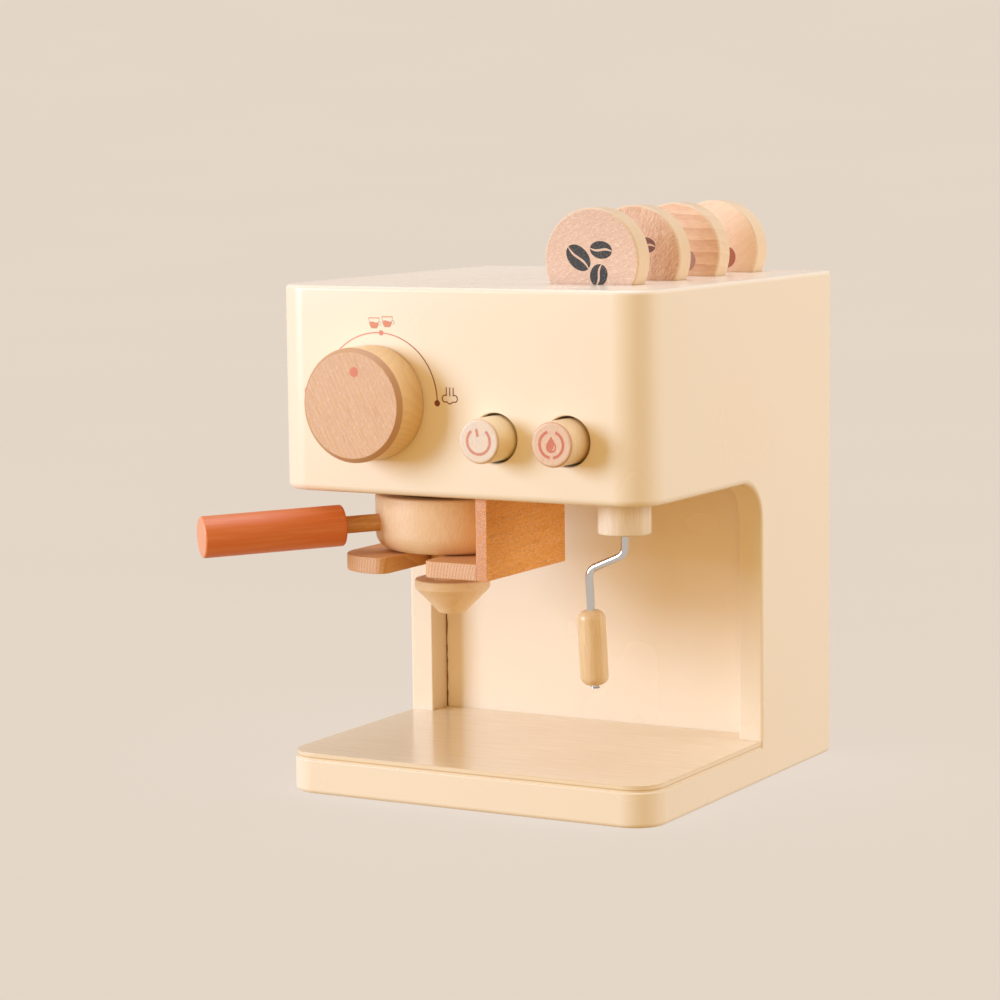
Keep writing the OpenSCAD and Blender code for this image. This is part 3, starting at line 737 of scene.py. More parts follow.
@dataclass(frozen=True)
class BirchPly:
    """Thin birch plywood with a clear satin lacquer."""

    name: str = "birch_ply_lacquered"
    early: str = "#FBE9C8"
    late: str = "#F2D8AE"
    edge_pale: str = "#F4DEBC"
    edge_core: str = "#C99A63"
    ply_mm: float = 1.0
    core_at: Point = (0.55, 0.95)       # where in a layer its darker half starts and is full
    core_share: float = 0.7             # how much of the darker tone it takes
    flat_at: Point = (0.5, 0.8)         # cosine of the tilt where the edge turns into the face
    streak_mm: Point = (1.1, 26.0)      # across and along the veneer's fibres
    streak_depth_mm: float = 0.01
    roughness: float = 0.3
    coat: Point = (0.6, 0.14)           # weight and roughness of the lacquer

    def material(self, underside: float) -> bpy.types.Material:
        """Makes the finish of the tray.

        The lacquered veneer shows long faint streaks and a soft sheen, and the sanded edge shows
        its thin layers, pale and darker by turns.

        Args:
            underside: Height of the board's lower face, where its first layer starts.

        Returns:
            The material.
        """
        made, tree = new_tree(self.name)
        place = in_mm(tree)
        width, length = self.streak_mm
        drawn = vectors(tree, "MULTIPLY", place, (1 / length, 1 / width, 1.0))
        streak = noise(tree, drawn, 1.0, 3.0)
        veneer = mixed(tree, spread(tree, streak, *NOISE), self.early, self.late)
        height = add_node(tree, "ShaderNodeSeparateXYZ", inputs={0: place}).outputs["Z"]
        layer = calculated(tree, "PINGPONG", calculated(tree, "SUBTRACT", height, underside),
                           self.ply_mm)
        start, end = (share * self.ply_mm for share in self.core_at)
        edge = mixed(tree, spread(tree, layer, start, end, 0, self.core_share), self.edge_pale,
                     self.edge_core)
        up = calculated(tree, "ABSOLUTE", facing(tree, (0, 0, 1)))
        colour = mixed(tree, spread(tree, up, *self.flat_at), edge, veneer)
        weight, gloss = self.coat
        surface(tree, {"Base Color": colour, "Roughness": self.roughness, "Coat Weight": weight,
                       "Coat Roughness": gloss,
                       "Normal": bumps(tree, streak, self.streak_depth_mm)})
        return made


@dataclass(frozen=True)
class GlossEnamel:
    """Enamel brushed on turned wood, with the soft gloss of a handled grip."""

    name: str = "gloss_enamel_terracotta"
    colour: str = "#E67C3E"
    thin: str = "#EE9760"       # where the coat is thin over an edge or a fibre
    end: str = "#EFA27A"        # the sanded end, paler: partly the thinnest coat, partly a painted highlight
    roughness: float = 0.42
    streak_mm: Point = (30.0, 1.4)
    streak_depth_mm: float = 0.02
    thin_at: Point = (0.4, 0.75)    # the noise where a streak begins and where it is full
    thin_share: float = 0.6     # how much of the thin coat's colour a streak takes
    end_at: Point = (0.3, 0.9)      # cosine of the tilt where the side turns into the end

    def material(self, axis: Vector) -> bpy.types.Material:
        """Makes the finish of the grip.

        The gloss gives one long soft highlight. The wood's fibres show through the coat as faint
        streaks, and the sanded end is paler, partly as the coat is thinner there and partly as a
        painted highlight.

        Args:
            axis: The way that the grip points, away from the cup.

        Returns:
            The material.
        """
        made, tree = new_tree(self.name)
        lie = axis.normalized().rotation_difference(Vector((1, 0, 0))).to_euler()
        along = add_node(tree, "ShaderNodeMapping", inputs={
            "Vector": in_mm(tree), "Rotation": lie}).outputs[0]
        streak = Timber.stretched(tree, along, self.streak_mm, 2.0)
        colour = mixed(tree, spread(tree, streak, *self.thin_at, 0, self.thin_share), self.colour,
                       self.thin)
        # The paler end colour is partly a painted highlight
        at_end = spread(tree, facing(tree, axis), *self.end_at)
        surface(tree, {"Base Color": mixed(tree, at_end, colour, self.end),
                       "Roughness": self.roughness,
                       "Normal": bumps(tree, streak, self.streak_depth_mm)})
        return made


@dataclass(frozen=True)
class PlatedMetal:
    """Steel wire or screws with a plated metal coat."""

    name: str
    colour: str
    roughness: float
    grit_mm: float      # width of the marks that drawing or plating leaves
    grit_depth_mm: float = 0.004
    uneven: Point = (0.8, 1.25)     # least and greatest roughness, as shares of the usual one

    def material(self) -> bpy.types.Material:
        """Returns the finish, a bright metal whose gloss is broken by faint marks."""
        made, tree = new_tree(self.name)
        grit = noise(tree, in_mm(tree), self.grit_mm, 2.0)
        least, most = (self.roughness * share for share in self.uneven)
        surface(tree, {"Base Color": linear(self.colour), "Metallic": 1.0,
                       "Roughness": spread(tree, grit, *NOISE, least, most),
                       "Normal": bumps(tree, grit, self.grit_depth_mm)})
        return made


@dataclass(frozen=True)
class PadInk:
    """Matt ink, pad printed in one thin coat."""

    name: str
    colour: str
    other: str | None = None            # colour that it fades into towards +X
    fade_x: Point = (0.0, 1.0)          # where that fade starts and ends
    roughness: float = 0.6
    mottle_mm: float = 0.7
    mottle_at: Point = (0.5, 0.8)       # the noise where a thin spot begins and is thinnest
    mottle: float = 0.16                # how much of the ground shows through a thin spot
    ground: str = "#EBC3A3"

    def material(self) -> bpy.types.Material:
        """Returns the ink, which lies unevenly on the fibres, so that its tone is mottled."""
        made, tree = new_tree(self.name)
        place = in_mm(tree)
        colour: object = self.colour
        if self.other:
            x = add_node(tree, "ShaderNodeSeparateXYZ", inputs={0: place}).outputs["X"]
            colour = mixed(tree, spread(tree, x, *self.fade_x), colour, self.other)
        thin = noise(tree, place, self.mottle_mm, 1.0)
        colour = mixed(tree, spread(tree, thin, *self.mottle_at, 0, self.mottle), colour,
                       self.ground)
        surface(tree, {"Base Color": colour, "Roughness": self.roughness})
        return made


@dataclass(frozen=True)
class GapShadowPaint:
    """Painted shadow: a dull brown strip that stands for the shade in a corner's gap."""

    name: str = "painted_gap_shadow"
    colour: str = "#6F4318"
    pale: str = "#A46F33"
    lump_mm: float = 2.0
    roughness: float = 0.55

    def material(self) -> bpy.types.Material:
        """Returns the painted shadow, a dull brown that is paler in random lumps."""
        made, tree = new_tree(self.name)
        lumps = noise(tree, in_mm(tree), self.lump_mm, 2.0)
        colour = mixed(tree, spread(tree, lumps, *NOISE_CORE), self.colour, self.pale)
        surface(tree, {"Base Color": colour, "Roughness": self.roughness})
        return made


@dataclass(frozen=True)
class OpalAcrylic:
    """Opal acrylic sheet of a shooting table, lit from below."""

    name: str = "opal_acrylic_backlit"
    colour: str = "#898989"     # what it scatters of the light from above
    glow: str = "#D5CDC6"       # the light that comes through it
    cloud_mm: float = 400
    drift: float = 0.004        # how much the glow differs over the sheet
    roughness: float = 0.9

    def material(self) -> bpy.types.Material:
        """Returns the sheet, an even pale ground whose glow hardly drifts."""
        made, tree = new_tree(self.name)
        cloud = noise(tree, in_mm(tree), self.cloud_mm, 1.0)
        glow = add_node(tree, "ShaderNodeHueSaturation", inputs={
            "Value": spread(tree, cloud, *NOISE, 1 - self.drift, 1 + self.drift),
            "Color": linear(self.glow)}).outputs[0]
        surface(tree, {"Base Color": linear(self.colour), "Roughness": self.roughness,
                       "Specular IOR Level": 0.0, "Emission Color": glow,
                       "Emission Strength": 1.0})
        return made


BEECH = Timber("beech_turned_oiled", "#EEC79A", "#DDAE7C", "#B27648", "#EBC6AC")
MAPLE = Timber("maple_turned_waxed", "#F2E0C8", "#E8D0B0", "#D2A87C", "#F4E2CC",
               fleck_share=0.12, roughness=0.5)
CHROME = PlatedMetal("chrome_plated_wire", "#D2D3D6", 0.08, 0.8)
ZINC = PlatedMetal("zinc_plated_steel", "#B9BBBC", 0.38, 0.4)
SALMON_INK = PadInk("pad_ink_salmon", "#D9826A", ground="#E8B89A")
BROWN_INK = PadInk("pad_ink_brown", "#8A4429", ground="#D9A97A")
CHARCOAL_INK = PadInk("pad_ink_charcoal", "#343230", roughness=0.72)


# ---- The machine ---------------------------------------------------------


@dataclass
class Housing:
    """Painted boards: base, side panels, front, top, floor, column and rear panel, and the tray."""

    head_corner_r: float = 16.0
    base_corner_r: float = 14.5
    arch_r: float = 18.0
    rear_corner_r: float = 2.0
    top_ease: float = 2.0
    head_low_ease: float = 3.0
    column_ease: float = 1.3
    base_ease: float = 2.0
    base_top_ease: float = 0.5
    tray_ease: float = 0.35
    tray_gap: float = 0.2       # between the tray's rear part and the side panels
    panel_ease: float = 0.6
    hole_ease: float = 0.6
    disc_count: int = 4
    shadow_w: Point = (0.4, 1.05)     # least and greatest width of the painted shadow line in the corner
    shadow_t: float = 0.15
    shadow_step: float = 3.0          # from one change of its width to the next
    shadow_seed: int = 7

    def build(self, paint: bpy.types.Material) -> None:
        """Builds every board in its paint."""
        self.paint = paint
        self.front = Extent.of("front_panel")
        self.top = Extent.of("top_panel")
        self.base = Extent.of("base_board")
        self.build_base()
        self.build_tray()
        self.build_side(Extent.of("left_side_panel"), "left_side_panel")
        self.build_side(Extent.of("right_side_panel"), "right_side_panel")
        self.build_front()
        self.build_top()
        self.build_inner_panels()

    def plan(self, box: Extent, front_r: float, rear_r: float) -> list[Point]:
        """Returns a board's outline from above, with round front and rear corners."""
        return rounded([
            Corner(box.low.x, box.low.y, front_r), Corner(box.high.x, box.low.y, front_r),
            Corner(box.high.x, box.high.y, rear_r), Corner(box.low.x, box.high.y, rear_r)])

    def paint_board(self, name: str, shape: Shape) -> None:
        """Adds a painted board under its node's name."""
        add_piece(f"{name}_painted", shape, BODY, self.paint, [name])

    def build_base(self) -> None:
        """Builds the base board, eased round its foot and round its top where the tray ends."""
        box = self.base
        shape = Shape().prism(self.plan(box, self.base_corner_r, self.rear_corner_r),
                              box.low.z, box.high.z, Along.Z)

        def radius(a: Vector, b: Vector) -> float:
            """Returns the foot's radius, the smaller one at the top's front, or 0."""
            if abs(a.z - b.z) > PLANE:
                return 0.0
            if a.z < box.low.z + PLANE:
                return self.base_ease
            at_front = max(a.y, b.y) < box.low.y + self.base_corner_r + PLANE
            return self.base_top_ease if at_front else 0.0

        self.paint_board("base_board", shape.ease(radius))

    def build_tray(self) -> None:
        """Builds the plywood tray, which fills the space between the side panels as well."""
        box = Extent.of("tray_plate")
        inner = Extent.of("right_side_panel").low.x - self.tray_gap
        rear_of_wide = self.column_front_y() - self.tray_gap
        corner = self.base_corner_r - (box.low.y - self.base.low.y)
        outline = rounded([
            Corner(box.low.x, box.low.y, corner), Corner(box.high.x, box.low.y, corner),
            Corner(box.high.x, rear_of_wide), Corner(inner, rear_of_wide),
            Corner(inner, box.high.y), Corner(-inner, box.high.y),
            Corner(-inner, rear_of_wide), Corner(box.low.x, rear_of_wide)])
        shape = Shape().prism(outline, box.low.z, box.high.z, Along.Z)
        top_z = box.high.z
        shape.ease(lambda a, b: self.tray_ease if min(a.z, b.z) > top_z - PLANE else 0.0)
        add_piece("tray_plate_veneered", shape, BODY, BirchPly().material(box.low.z),
                  ["tray_plate"])

    def column_front_y(self) -> float:
        """Returns where the column's front edge lies, from the side panel's own vertices."""
        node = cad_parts["left_side_panel"]
        low_z = self.base.high.z * MM
        foot = [v.co.y for v in node.data.vertices if abs(v.co.z - low_z) < PLANE * MM]
        return min(foot) / MM

    def build_side(self, box: Extent, name: str) -> None:
        """Builds a side panel: column and head in one board, with the round inner corner.

        The head's lower edge is eased as much as the front panel's, and less and less along the
        inner corner, until the column's edge is nearly crisp.
        """
        column_y = self.column_front_y()
        head_z = self.front.low.z
        outline = rounded([
            Corner(box.low.y, head_z), Corner(column_y, head_z, self.arch_r),
            Corner(column_y, box.low.z), Corner(box.high.y, box.low.z),
            Corner(box.high.y, box.high.z), Corner(box.low.y, box.high.z)])
        outer_x = box.low.x if box.low.x < 0 else box.high.x
        shape = Shape().prism(outline, box.low.x, box.high.x, Along.X)
        arch_start = column_y - self.arch_r

        def radius(a: Vector, b: Vector) -> float:
            """Returns an edge's radius from where it lies on the panel."""
            middle = (a + b) / 2
            on_join = middle.z > box.high.z - PLANE or middle.z < box.low.z + PLANE
            if on_join or middle.y < box.low.y + PLANE or abs(a.x - b.x) > PLANE:
                return 0.0
            outside = abs(middle.x - outer_x) < PLANE
            if middle.y > box.high.y - PLANE:
                return self.rear_corner_r if outside else 0.0
            if not outside:
                return self.panel_ease
            round_part = (middle.y - arch_start) / self.arch_r
            share = min(1.0, max(0.0, round_part))
            return self.head_low_ease + (self.column_ease - self.head_low_ease) * share

        self.paint_board(name, shape.ease(radius))

    def build_front(self) -> None:
        """Builds the front of the head, with a hole for the knob's axle and for each button."""
        box = self.front
        outline = rounded([
            Corner(box.low.x, box.low.y, self.head_corner_r),
            Corner(box.high.x, box.low.y, self.head_corner_r),
            Corner(box.high.x, box.high.y), Corner(box.low.x, box.high.y)])
        shape = Shape().prism(outline, box.low.z, box.high.z, Along.Z)

        def radius(a: Vector, b: Vector) -> float:
            """Returns the lower edge's radius, and 0 where the panel joins another."""
            at_rear = min(a.y, b.y) > box.high.y - PLANE
            low = max(a.z, b.z) < box.low.z + PLANE
            return self.head_low_ease if low and not at_rear else 0.0

        shape.ease(radius)
        axle_r = Extent.of("knob_axle").size.x / 2
        for node, hole_r in (("knob_axle", axle_r + FIT_GAP), ("power_button", PushButton.hole_r),
                             ("water_button", PushButton.hole_r)):
            hole = Extent.of(node)
            place = facing_front(hole.middle.x, box.low.y, hole.middle.z)
            shape.cut(Shape().turned([
                Corner(hole_r, -box.size.y - PAST), Corner(hole_r, -self.hole_ease),
                Corner(hole_r + self.hole_ease, self.hole_ease / 2),
                Corner(hole_r + self.hole_ease, PAST)], place))
        self.paint_board("front_panel", shape)

    def build_top(self) -> None:
        """Builds the top board, eased round its upper edge, with a slot for each disc."""
        box = self.top
        shape = Shape().prism(self.plan(box, self.head_corner_r, self.rear_corner_r),
                              box.low.z, box.high.z, Along.Z)
        shape.ease(lambda a, b: self.top_ease if min(a.z, b.z) > box.high.z - PLANE else 0.0)
        for k in range(self.disc_count):
            disc = Extent.of(f"coffee_disc_{k + 1}")
            slot = CoffeeDisc.slot_size(disc, box.high.z)
            middle = disc.middle
            shape.cut(Shape().block(
                (middle.x - slot[0] / 2, middle.y - slot[1] / 2, box.low.z - PAST),
                (middle.x + slot[0] / 2, middle.y + slot[1] / 2, box.high.z + PAST)))
        self.paint_board("top_panel", shape)

    def build_inner_panels(self) -> None:
        """Builds the panels between the sides, and eases the rear one's upright edges."""
        column = Extent.of("column_panel")
        self.paint_board("column_panel", Shape().block(column.low, column.high))
        rear = Extent.of("rear_panel")

        def radius(a: Vector, b: Vector) -> float:
            """Returns the radius of the two upright edges that show from behind, or 0."""
            shows = abs(a.z - b.z) > PLANE and min(a.y, b.y) > rear.high.y - PLANE
            return self.panel_ease if shows else 0.0

        self.paint_board("rear_panel", Shape().block(rear.low, rear.high).ease(radius))
        floor = Extent.of("head_floor")
        collar = Extent.of("wand_collar").middle
        peg_r = SteamWand.peg_r + FIT_GAP
        bore = Shape().turned([Corner(peg_r, floor.low.z - PAST), Corner(peg_r, floor.high.z + PAST)],
                              Matrix.Translation((collar.x, collar.y, 0)))
        self.paint_board("head_floor", Shape().block(floor.low, floor.high).cut(bore))

    def gap_shadow_line(self, gap_shadow: bpy.types.Material) -> None:
        """Adds a thin uneven dark line, painted shadow in the gap between the left side panel and the
        column panel.
        """
        panel = Extent.of("column_panel")
        low = Extent.of("tray_plate").high.z
        high = self.front.low.z
        chance = random.Random(self.shadow_seed)
        step = self.shadow_step
        count = int((high - low) / step)
        edge = [(panel.low.x + chance.uniform(*self.shadow_w), low + step * k)
                for k in range(count + 1)]
        outline = [(panel.low.x, low), *edge, (panel.low.x, low + step * count)]
        shape = Shape().prism(outline, panel.low.y - self.shadow_t, panel.low.y, Along.Y)
        # The dark strip is painted shadow for the gap between the two panels
        add_piece("gap_shadow_line_left", shape, BODY, gap_shadow)


def facing_front(x: float, y: float, z: float) -> Matrix:
    """Returns the matrix that turns +Z to the front, -Y, and moves the origin to a point."""
    return Matrix.Translation((x, y, z)) @ Matrix.Rotation(math.radians(90), 4, "X")


@dataclass(frozen=True)
class SteamSign:
    """Three jets over a cloud with three lobes, as heights and distances from its middle."""

    x: float = -2.05
    jet_gap: float = 1.65
    jet_top: float = 180.4
    jet_foot: float = 176.9
    middle_foot: float = 176.7
    lobe_r: float = 1.45
    outer_lobe: Point = (2.2, 175.65)   # how far out the outer lobes' middles lie, and how high
    low_lobe_z: float = 174.95

    def cloud(self) -> list[Point]:
        """Returns the line that runs down one outer jet, round the cloud and up the other."""
        out, z = self.outer_lobe
        left, right = self.x - self.jet_gap, self.x + self.jet_gap
        return [(left, self.jet_top), (left, self.jet_foot),
                *arc((self.x - out, z), self.lobe_r, 62, 285, 12),
                *arc((self.x, self.low_lobe_z), self.lobe_r, 208, 332, 12),
                *arc((self.x + out, z), self.lobe_r, -105, 118, 12),
                (right, self.jet_foot), (right, self.jet_top)]

    def middle_jet(self) -> list[Point]:
        """Returns the line of the jet in the middle."""
        return [(self.x, self.jet_top), (self.x, self.middle_foot)]


@dataclass(frozen=True)
class CupSign:
    """A small printed cup, half full, from the left end of its rim."""

    left: float
    top: float
    width: float = 5.2
    foot_w: float = 2.9
    height: float = 4.3
    shoulder: Corner = Corner(0.35, 2.4, 1.2)       # in from the rim's end, and below it
    foot_r: float = 0.8
    handle: Corner = Corner(0.15, 2.3, 0.75)        # out from the rim's end, and below it
    line_w: float = 0.22
    rim_w: float = 0.4
    rim_over: float = 0.1           # how far the rim stands over the sides
    pool_in: float = 0.5            # from the side to the pool's edge
    pool_z: float = 1.75            # from the rim down to the pool's surface
    wave: float = 0.22              # how far that surface rises and falls
    wave_steps: int = 12
    belly: Corner = Corner(0.35, 3.3, 0.9)
    pool_foot: Corner = Corner(0.35, 0.1, 0.3)

    def mirrored(self, half: Sequence[Corner]) -> list[Corner]:
        """Returns corners from the cup's right half, followed by their mirror images."""
        middle = self.left + self.width / 2
        other = [Corner(2 * middle - c.u, c.v, c.radius) for c in reversed(half)]
        return [*half, *other]

    def bowl(self) -> list[Point]:
        """Returns the line of the cup's sides and foot."""
        right = self.left + self.width
        middle = self.left + self.width / 2
        return rounded(self.mirrored([
            Corner(right, self.top),
            Corner(right - self.shoulder.u, self.top - self.shoulder.v, self.shoulder.radius),
            Corner(middle + self.foot_w / 2, self.top - self.height, self.foot_r)]), closed=False)

    def ear(self) -> list[Point]:
        """Returns the line of the handle."""
        middle = (self.left + self.width + self.handle.u, self.top - self.handle.v)
        return arc(middle, self.handle.radius, 110, -110, 20)

    def rim(self) -> list[Point]:
        """Returns the line of the rim."""
        return [(self.left - self.rim_over, self.top),
                (self.left + self.width + self.rim_over, self.top)]

    def pool(self) -> list[Point]:
        """Returns the outline of the drink, under a surface with one wave."""
        shares = [k / self.wave_steps for k in range(self.wave_steps + 1)]
        surface_line = [
            (self.left + self.pool_in + (self.width - 2 * self.pool_in) * share,
             self.top - self.pool_z + self.wave * math.sin(2 * math.pi * share))
            for share in shares]
        middle, foot = self.left + self.width / 2, self.foot_w / 2
        below = self.mirrored([
            Corner(middle + foot + self.belly.u, self.top - self.belly.v, self.belly.radius),
            Corner(middle + foot - self.pool_foot.u, self.top - self.height + self.pool_foot.v,
                   self.pool_foot.radius)])
        rim = rounded([Corner(*surface_line[-1]), *below, Corner(*surface_line[0])], closed=False)
        return surface_line[1:-1] + rim


@dataclass
class Dial:
    """Printed arc with its three stops and their pictograms, round the knob."""

    centre: Point = (-36.63, 174.05)
    radius: float = 28.45
    line_w: float = 0.5
    left_dot: Point = (180.0, 1.15)     # its angle on the arc, in degrees, and its radius
    top_dot: Point = (87.0, 1.15)
    right_dot: Point = (-1.0, 1.35)
    fade_x: Point = (-34.0, -9.0)       # where the arc's ink turns from salmon to brown
    steam: SteamSign = SteamSign()
    cups: tuple[CupSign, ...] = (CupSign(-41.2, 208.7), CupSign(-34.7, 209.3))
    drop_at: Point = (-71.6, 176.6)
    drop_size: Point = (2.1, 5.6)       # radius of its round part, and height

    def build(self) -> None:
        """Prints the dial on the front panel."""
        self.face_y = Extent.of("front_panel").low.y
        brown = BROWN_INK.material()
        self.print_arc(brown)
        jets = Print(self.face_y).stroke(self.steam.cloud(), self.line_w)
        jets.stroke(self.steam.middle_jet(), self.line_w)
        add_print("dial_steam_print", jets, BODY, brown)
        self.print_cups()
        drop = Print(self.face_y).stroke(drop_outline(self.drop_at, *self.drop_size), self.line_w,
                                         closed=True)
        add_print("dial_drop_print", drop, BODY, SALMON_INK.material())

    def dot(self, angle: float, radius: float) -> list[Point]:
        """Returns the outline of a dot that lies on the arc."""
        return circle(arc(self.centre, self.radius, angle, angle)[0], radius)

    def print_arc(self, brown: bpy.types.Material) -> None:
        """Prints the arc and the dots at its stops."""
        shape = Print(self.face_y).stroke(arc(self.centre, self.radius, 180, 0, 3), self.line_w)
        # The dots lie a little proud, so that no face of theirs falls into one of the arc's
        shape.fill(self.dot(*self.left_dot), INK_T / 4)
        shape.fill(self.dot(*self.top_dot), INK_T / 4)
        fading = PadInk("pad_ink_salmon_to_brown", "#DE8A72", "#8A4429", self.fade_x,
                        ground="#F0CDA8")
        add_print("dial_arc_print", shape, BODY, fading.material())
        add_print("dial_steam_dot_print", Print(self.face_y).fill(self.dot(*self.right_dot)), BODY,
                  brown)

    def print_cups(self) -> None:
        """Prints two small cups, half full."""
        salmon = PadInk("pad_ink_salmon_cups", "#E08A6C", ground="#F2C9A8").material()
        grey = PadInk("pad_ink_grey_line", "#A79B86", ground="#EAD9BD").material()
        fills, outlines = Print(self.face_y), Print(self.face_y)
        for cup in self.cups:
            outlines.stroke(cup.bowl(), cup.line_w).stroke(cup.ear(), cup.line_w)
            fills.stroke(cup.rim(), cup.rim_w).fill(cup.pool())
        add_print("dial_cups_fill_print", fills, BODY, salmon)
        add_print("dial_cups_line_print", outlines, BODY, grey)


def drop_outline(middle: Point, radius: float, height: float) -> list[Point]:
    """Returns the outline of a hanging drop.

    Args:
        middle: The middle of its round part.
        radius: The radius of the round part.
        height: From the drop's lowest point to its tip.

    Returns:
        The points of the outline.
    """
    tip = height - radius
    reach = math.degrees(math.acos(radius / tip))
    belly = arc(middle, radius, 90 + reach, 450 - reach, 12)
    return [(middle[0], middle[1] + tip), *belly]


@dataclass
class Knob:
    """Turned beech knob with a printed marker dot on its face."""

    chamfer: float = 2.0
    soft: float = 0.5
    rear_flat: float = 2.0      # how far inside its edge the flat rear starts
    face_flat: float = 3.0      # the same for the face
    dot: Point = (-37.2, 187.2)
    dot_r: float = 2.1
    # Its rim colour darkens the chamfer all round as painted shade
    wood: Timber = Timber("beech_turned_knob", "#F6D29A", "#E6B87C", "#B87E56", "#DBAC91",
                          end_figure=0.9, side_figure=0.35, ring_mm=2.1, ring_share=0.8,
                          warp_depth_mm=2.0, fibre_mm=(20.0, 0.7), fleck_mm=(9.0, 0.35),
                          fleck_share=0.3, ray_mm=(1.4, 0.3), ray_share=0.22, side_marks=0.0,
                          rim="#CF9E74", grain_depth_mm=0.015)

    def build(self) -> None:
        """Builds the knob and dresses the axle and the disc that keep it in the panel."""
        box = Extent.of("knob")
        r, depth = box.size.x / 2, box.size.y
        place = facing_front(box.middle.x, box.high.y, box.middle.z)
        front_r = r - self.chamfer
        shape = Shape().turned([
            Corner(r - self.rear_flat, 0), Corner(r, 0, self.soft),
            Corner(r, depth - self.chamfer, self.soft), Corner(front_r, depth, self.soft),
            Corner(front_r - self.face_flat, depth)], place, SPIN_WIDE)
        wood = self.wood.material("knob", Grain((0.45, 0.0, -0.89), (0, 1, 0), (0.0, 14.0, 70.0)))
        add_piece("knob_turned", shape, "knob", wood, ["knob"])
        ink = PadInk("pad_ink_salmon_dot", "#E08468", ground="#E3B79B")
        add_print("knob_dot_print", Print(box.low.y).fill(circle(self.dot, self.dot_r, 10)), "knob",
                  ink.material())
        dress_node("knob_axle", BEECH.material("knob_axle", Grain((0, 1, 0), (0, 1, 0))))
        dress_node("knob_retainer", MAPLE.material("knob_retainer", Grain((1, 0, 0), (0, 1, 0))))


class Symbol(Enum):
    """What is printed on a button."""

    POWER = "power"
    WATER = "water"


@dataclass
class PushButton:
    """Turned button with a printed symbol."""

    symbol: Symbol
    hole_r: float = 10.6
    head_r: float = 9.5
    head_foot_r: float = 0.2
    face_r: float = 1.4
    face_flat: float = 3.0
    rim_t: float = 3.0
    rim_flat: float = 2.0
    line_w: float = 1.2
    power_ring: Bow = (5.35, 128, 412)
    power_bar: tuple[Point, Point] = ((-1.0, 5.2), (-0.35, 1.9))
    water_rings: tuple[Bow, Bow] = ((5.4, 108, 262), (5.4, 278, 430))
    drop_at: Point = (-0.1, -1.0)
    drop_size: Point = (2.4, 6.9)
    gleam: Bow = (1.45, -65, 25)
    gleam_w: float = 0.5
    spring_wire_d: float = 1.0
    spring_turns: float = 5.0
    press: float = 5.0          # how far the button goes in

    def build(self) -> None:
        """Builds the button, prints its symbol and dresses the plunger behind it."""
        name = self.symbol.value
        node = f"{name}_button"
        box = Extent.of(node)
        self.middle = (box.middle.x, box.middle.z)
        rim_r, depth = box.size.x / 2, box.size.y
        place = facing_front(box.middle.x, box.high.y, box.middle.z)
        shape = Shape().turned([
            Corner(rim_r - self.rim_flat, 0), Corner(rim_r, 0, ARRIS),
            Corner(rim_r, self.rim_t, ARRIS), Corner(self.head_r, self.rim_t, self.head_foot_r),
            Corner(self.head_r, depth, self.face_r), Corner(self.head_r - self.face_flat, depth)],
            place)
        lean = 0.15 if self.symbol is Symbol.POWER else -0.25
        wood = self.wood().material(node, Grain((lean, 0.2, -1), (0, 1, 0), (5.0, 44.0, 22.0)))
        add_piece(f"{node}_turned", shape, node, wood, [node])
        if self.symbol is Symbol.POWER:
            self.print_power(node, box.low.y)
        else:
            self.print_water(node, box.low.y)
        rod = MAPLE.material(f"{name}_plunger", Grain((0, 1, 0), (0, 1, 0)))
        dress_node(f"{name}_plunger", rod)
        self.build_spring(name)

    def build_spring(self, name: str) -> None:
        """Builds the spring behind the button."""
        node = f"{name}_spring"
        box = Extent.of(node)
        wire_r = self.spring_wire_d / 2
        place = facing_front(box.middle.x, box.high.y, box.middle.z)
        shape = Shape().coil(box.size.x / 2 - wire_r, wire_r, self.spring_turns, place, box.size.y)
        made = add_piece(f"{node}_wound", shape, BODY, ZINC.material(), [node])
        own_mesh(made)

    def wood(self) -> Timber:
        """Returns the wood, which is paler in the power button than in the other one."""
        # The rim colours darken the rounded edge of the face as painted shade
        if self.symbol is Symbol.POWER:
            return Timber("beech_pale_turned", "#FFF0CC", "#FFDFB0", "#CB9A6A", "#E8D9CE",
                          side_figure=0.5, fleck_share=0.2, side_marks=0.1, rim="#E8C4A4")
        return Timber("beech_turned_pink", "#F3D7AC", "#E6C092", "#C08C5C", "#E8C4AC",
                      side_figure=0.5, fleck_share=0.25, side_marks=0.1, rim="#D9A888")

    def bow(self, shape: Bow) -> list[Point]:
        """Returns an arc round the button's middle."""
        return arc(self.middle, *shape)

    def beside(self, offset: Point) -> Point:
        """Returns the point that lies so far from the button's middle."""
        return self.middle[0] + offset[0], self.middle[1] + offset[1]

    def print_power(self, node: str, face_y: float) -> None:
        """Prints a broken ring with a short bar in its gap."""
        shape = Print(face_y).stroke(self.bow(self.power_ring), self.line_w)
        shape.stroke([self.beside(end) for end in self.power_bar], self.line_w)
        ink = PadInk("pad_ink_salmon_power", "#D98F77", ground="#EBD0BE", mottle=0.3)
        add_print("power_symbol_print", shape, node, ink.material())

    def print_water(self, node: str, face_y: float) -> None:
        """Prints a ring that is broken above and below, round a drop with a pale gleam."""
        shape = Print(face_y)
        for part in self.water_rings:
            shape.stroke(self.bow(part), self.line_w)
        drop = self.beside(self.drop_at)
        shape.fill(drop_outline(drop, *self.drop_size))
        ink = PadInk("pad_ink_salmon_water", "#D4785C", ground="#DFB79F", mottle=0.3)
        add_print("water_symbol_print", shape, node, ink.material())
        gleam = Print(face_y - INK_T, INK_T / 2).stroke(arc(drop, *self.gleam, 10), self.gleam_w)
        pale = PadInk("bare_wood_gleam", "#E9C4AE", ground="#E9C4AE")
        add_print("water_gleam_print", gleam, node, pale.material())


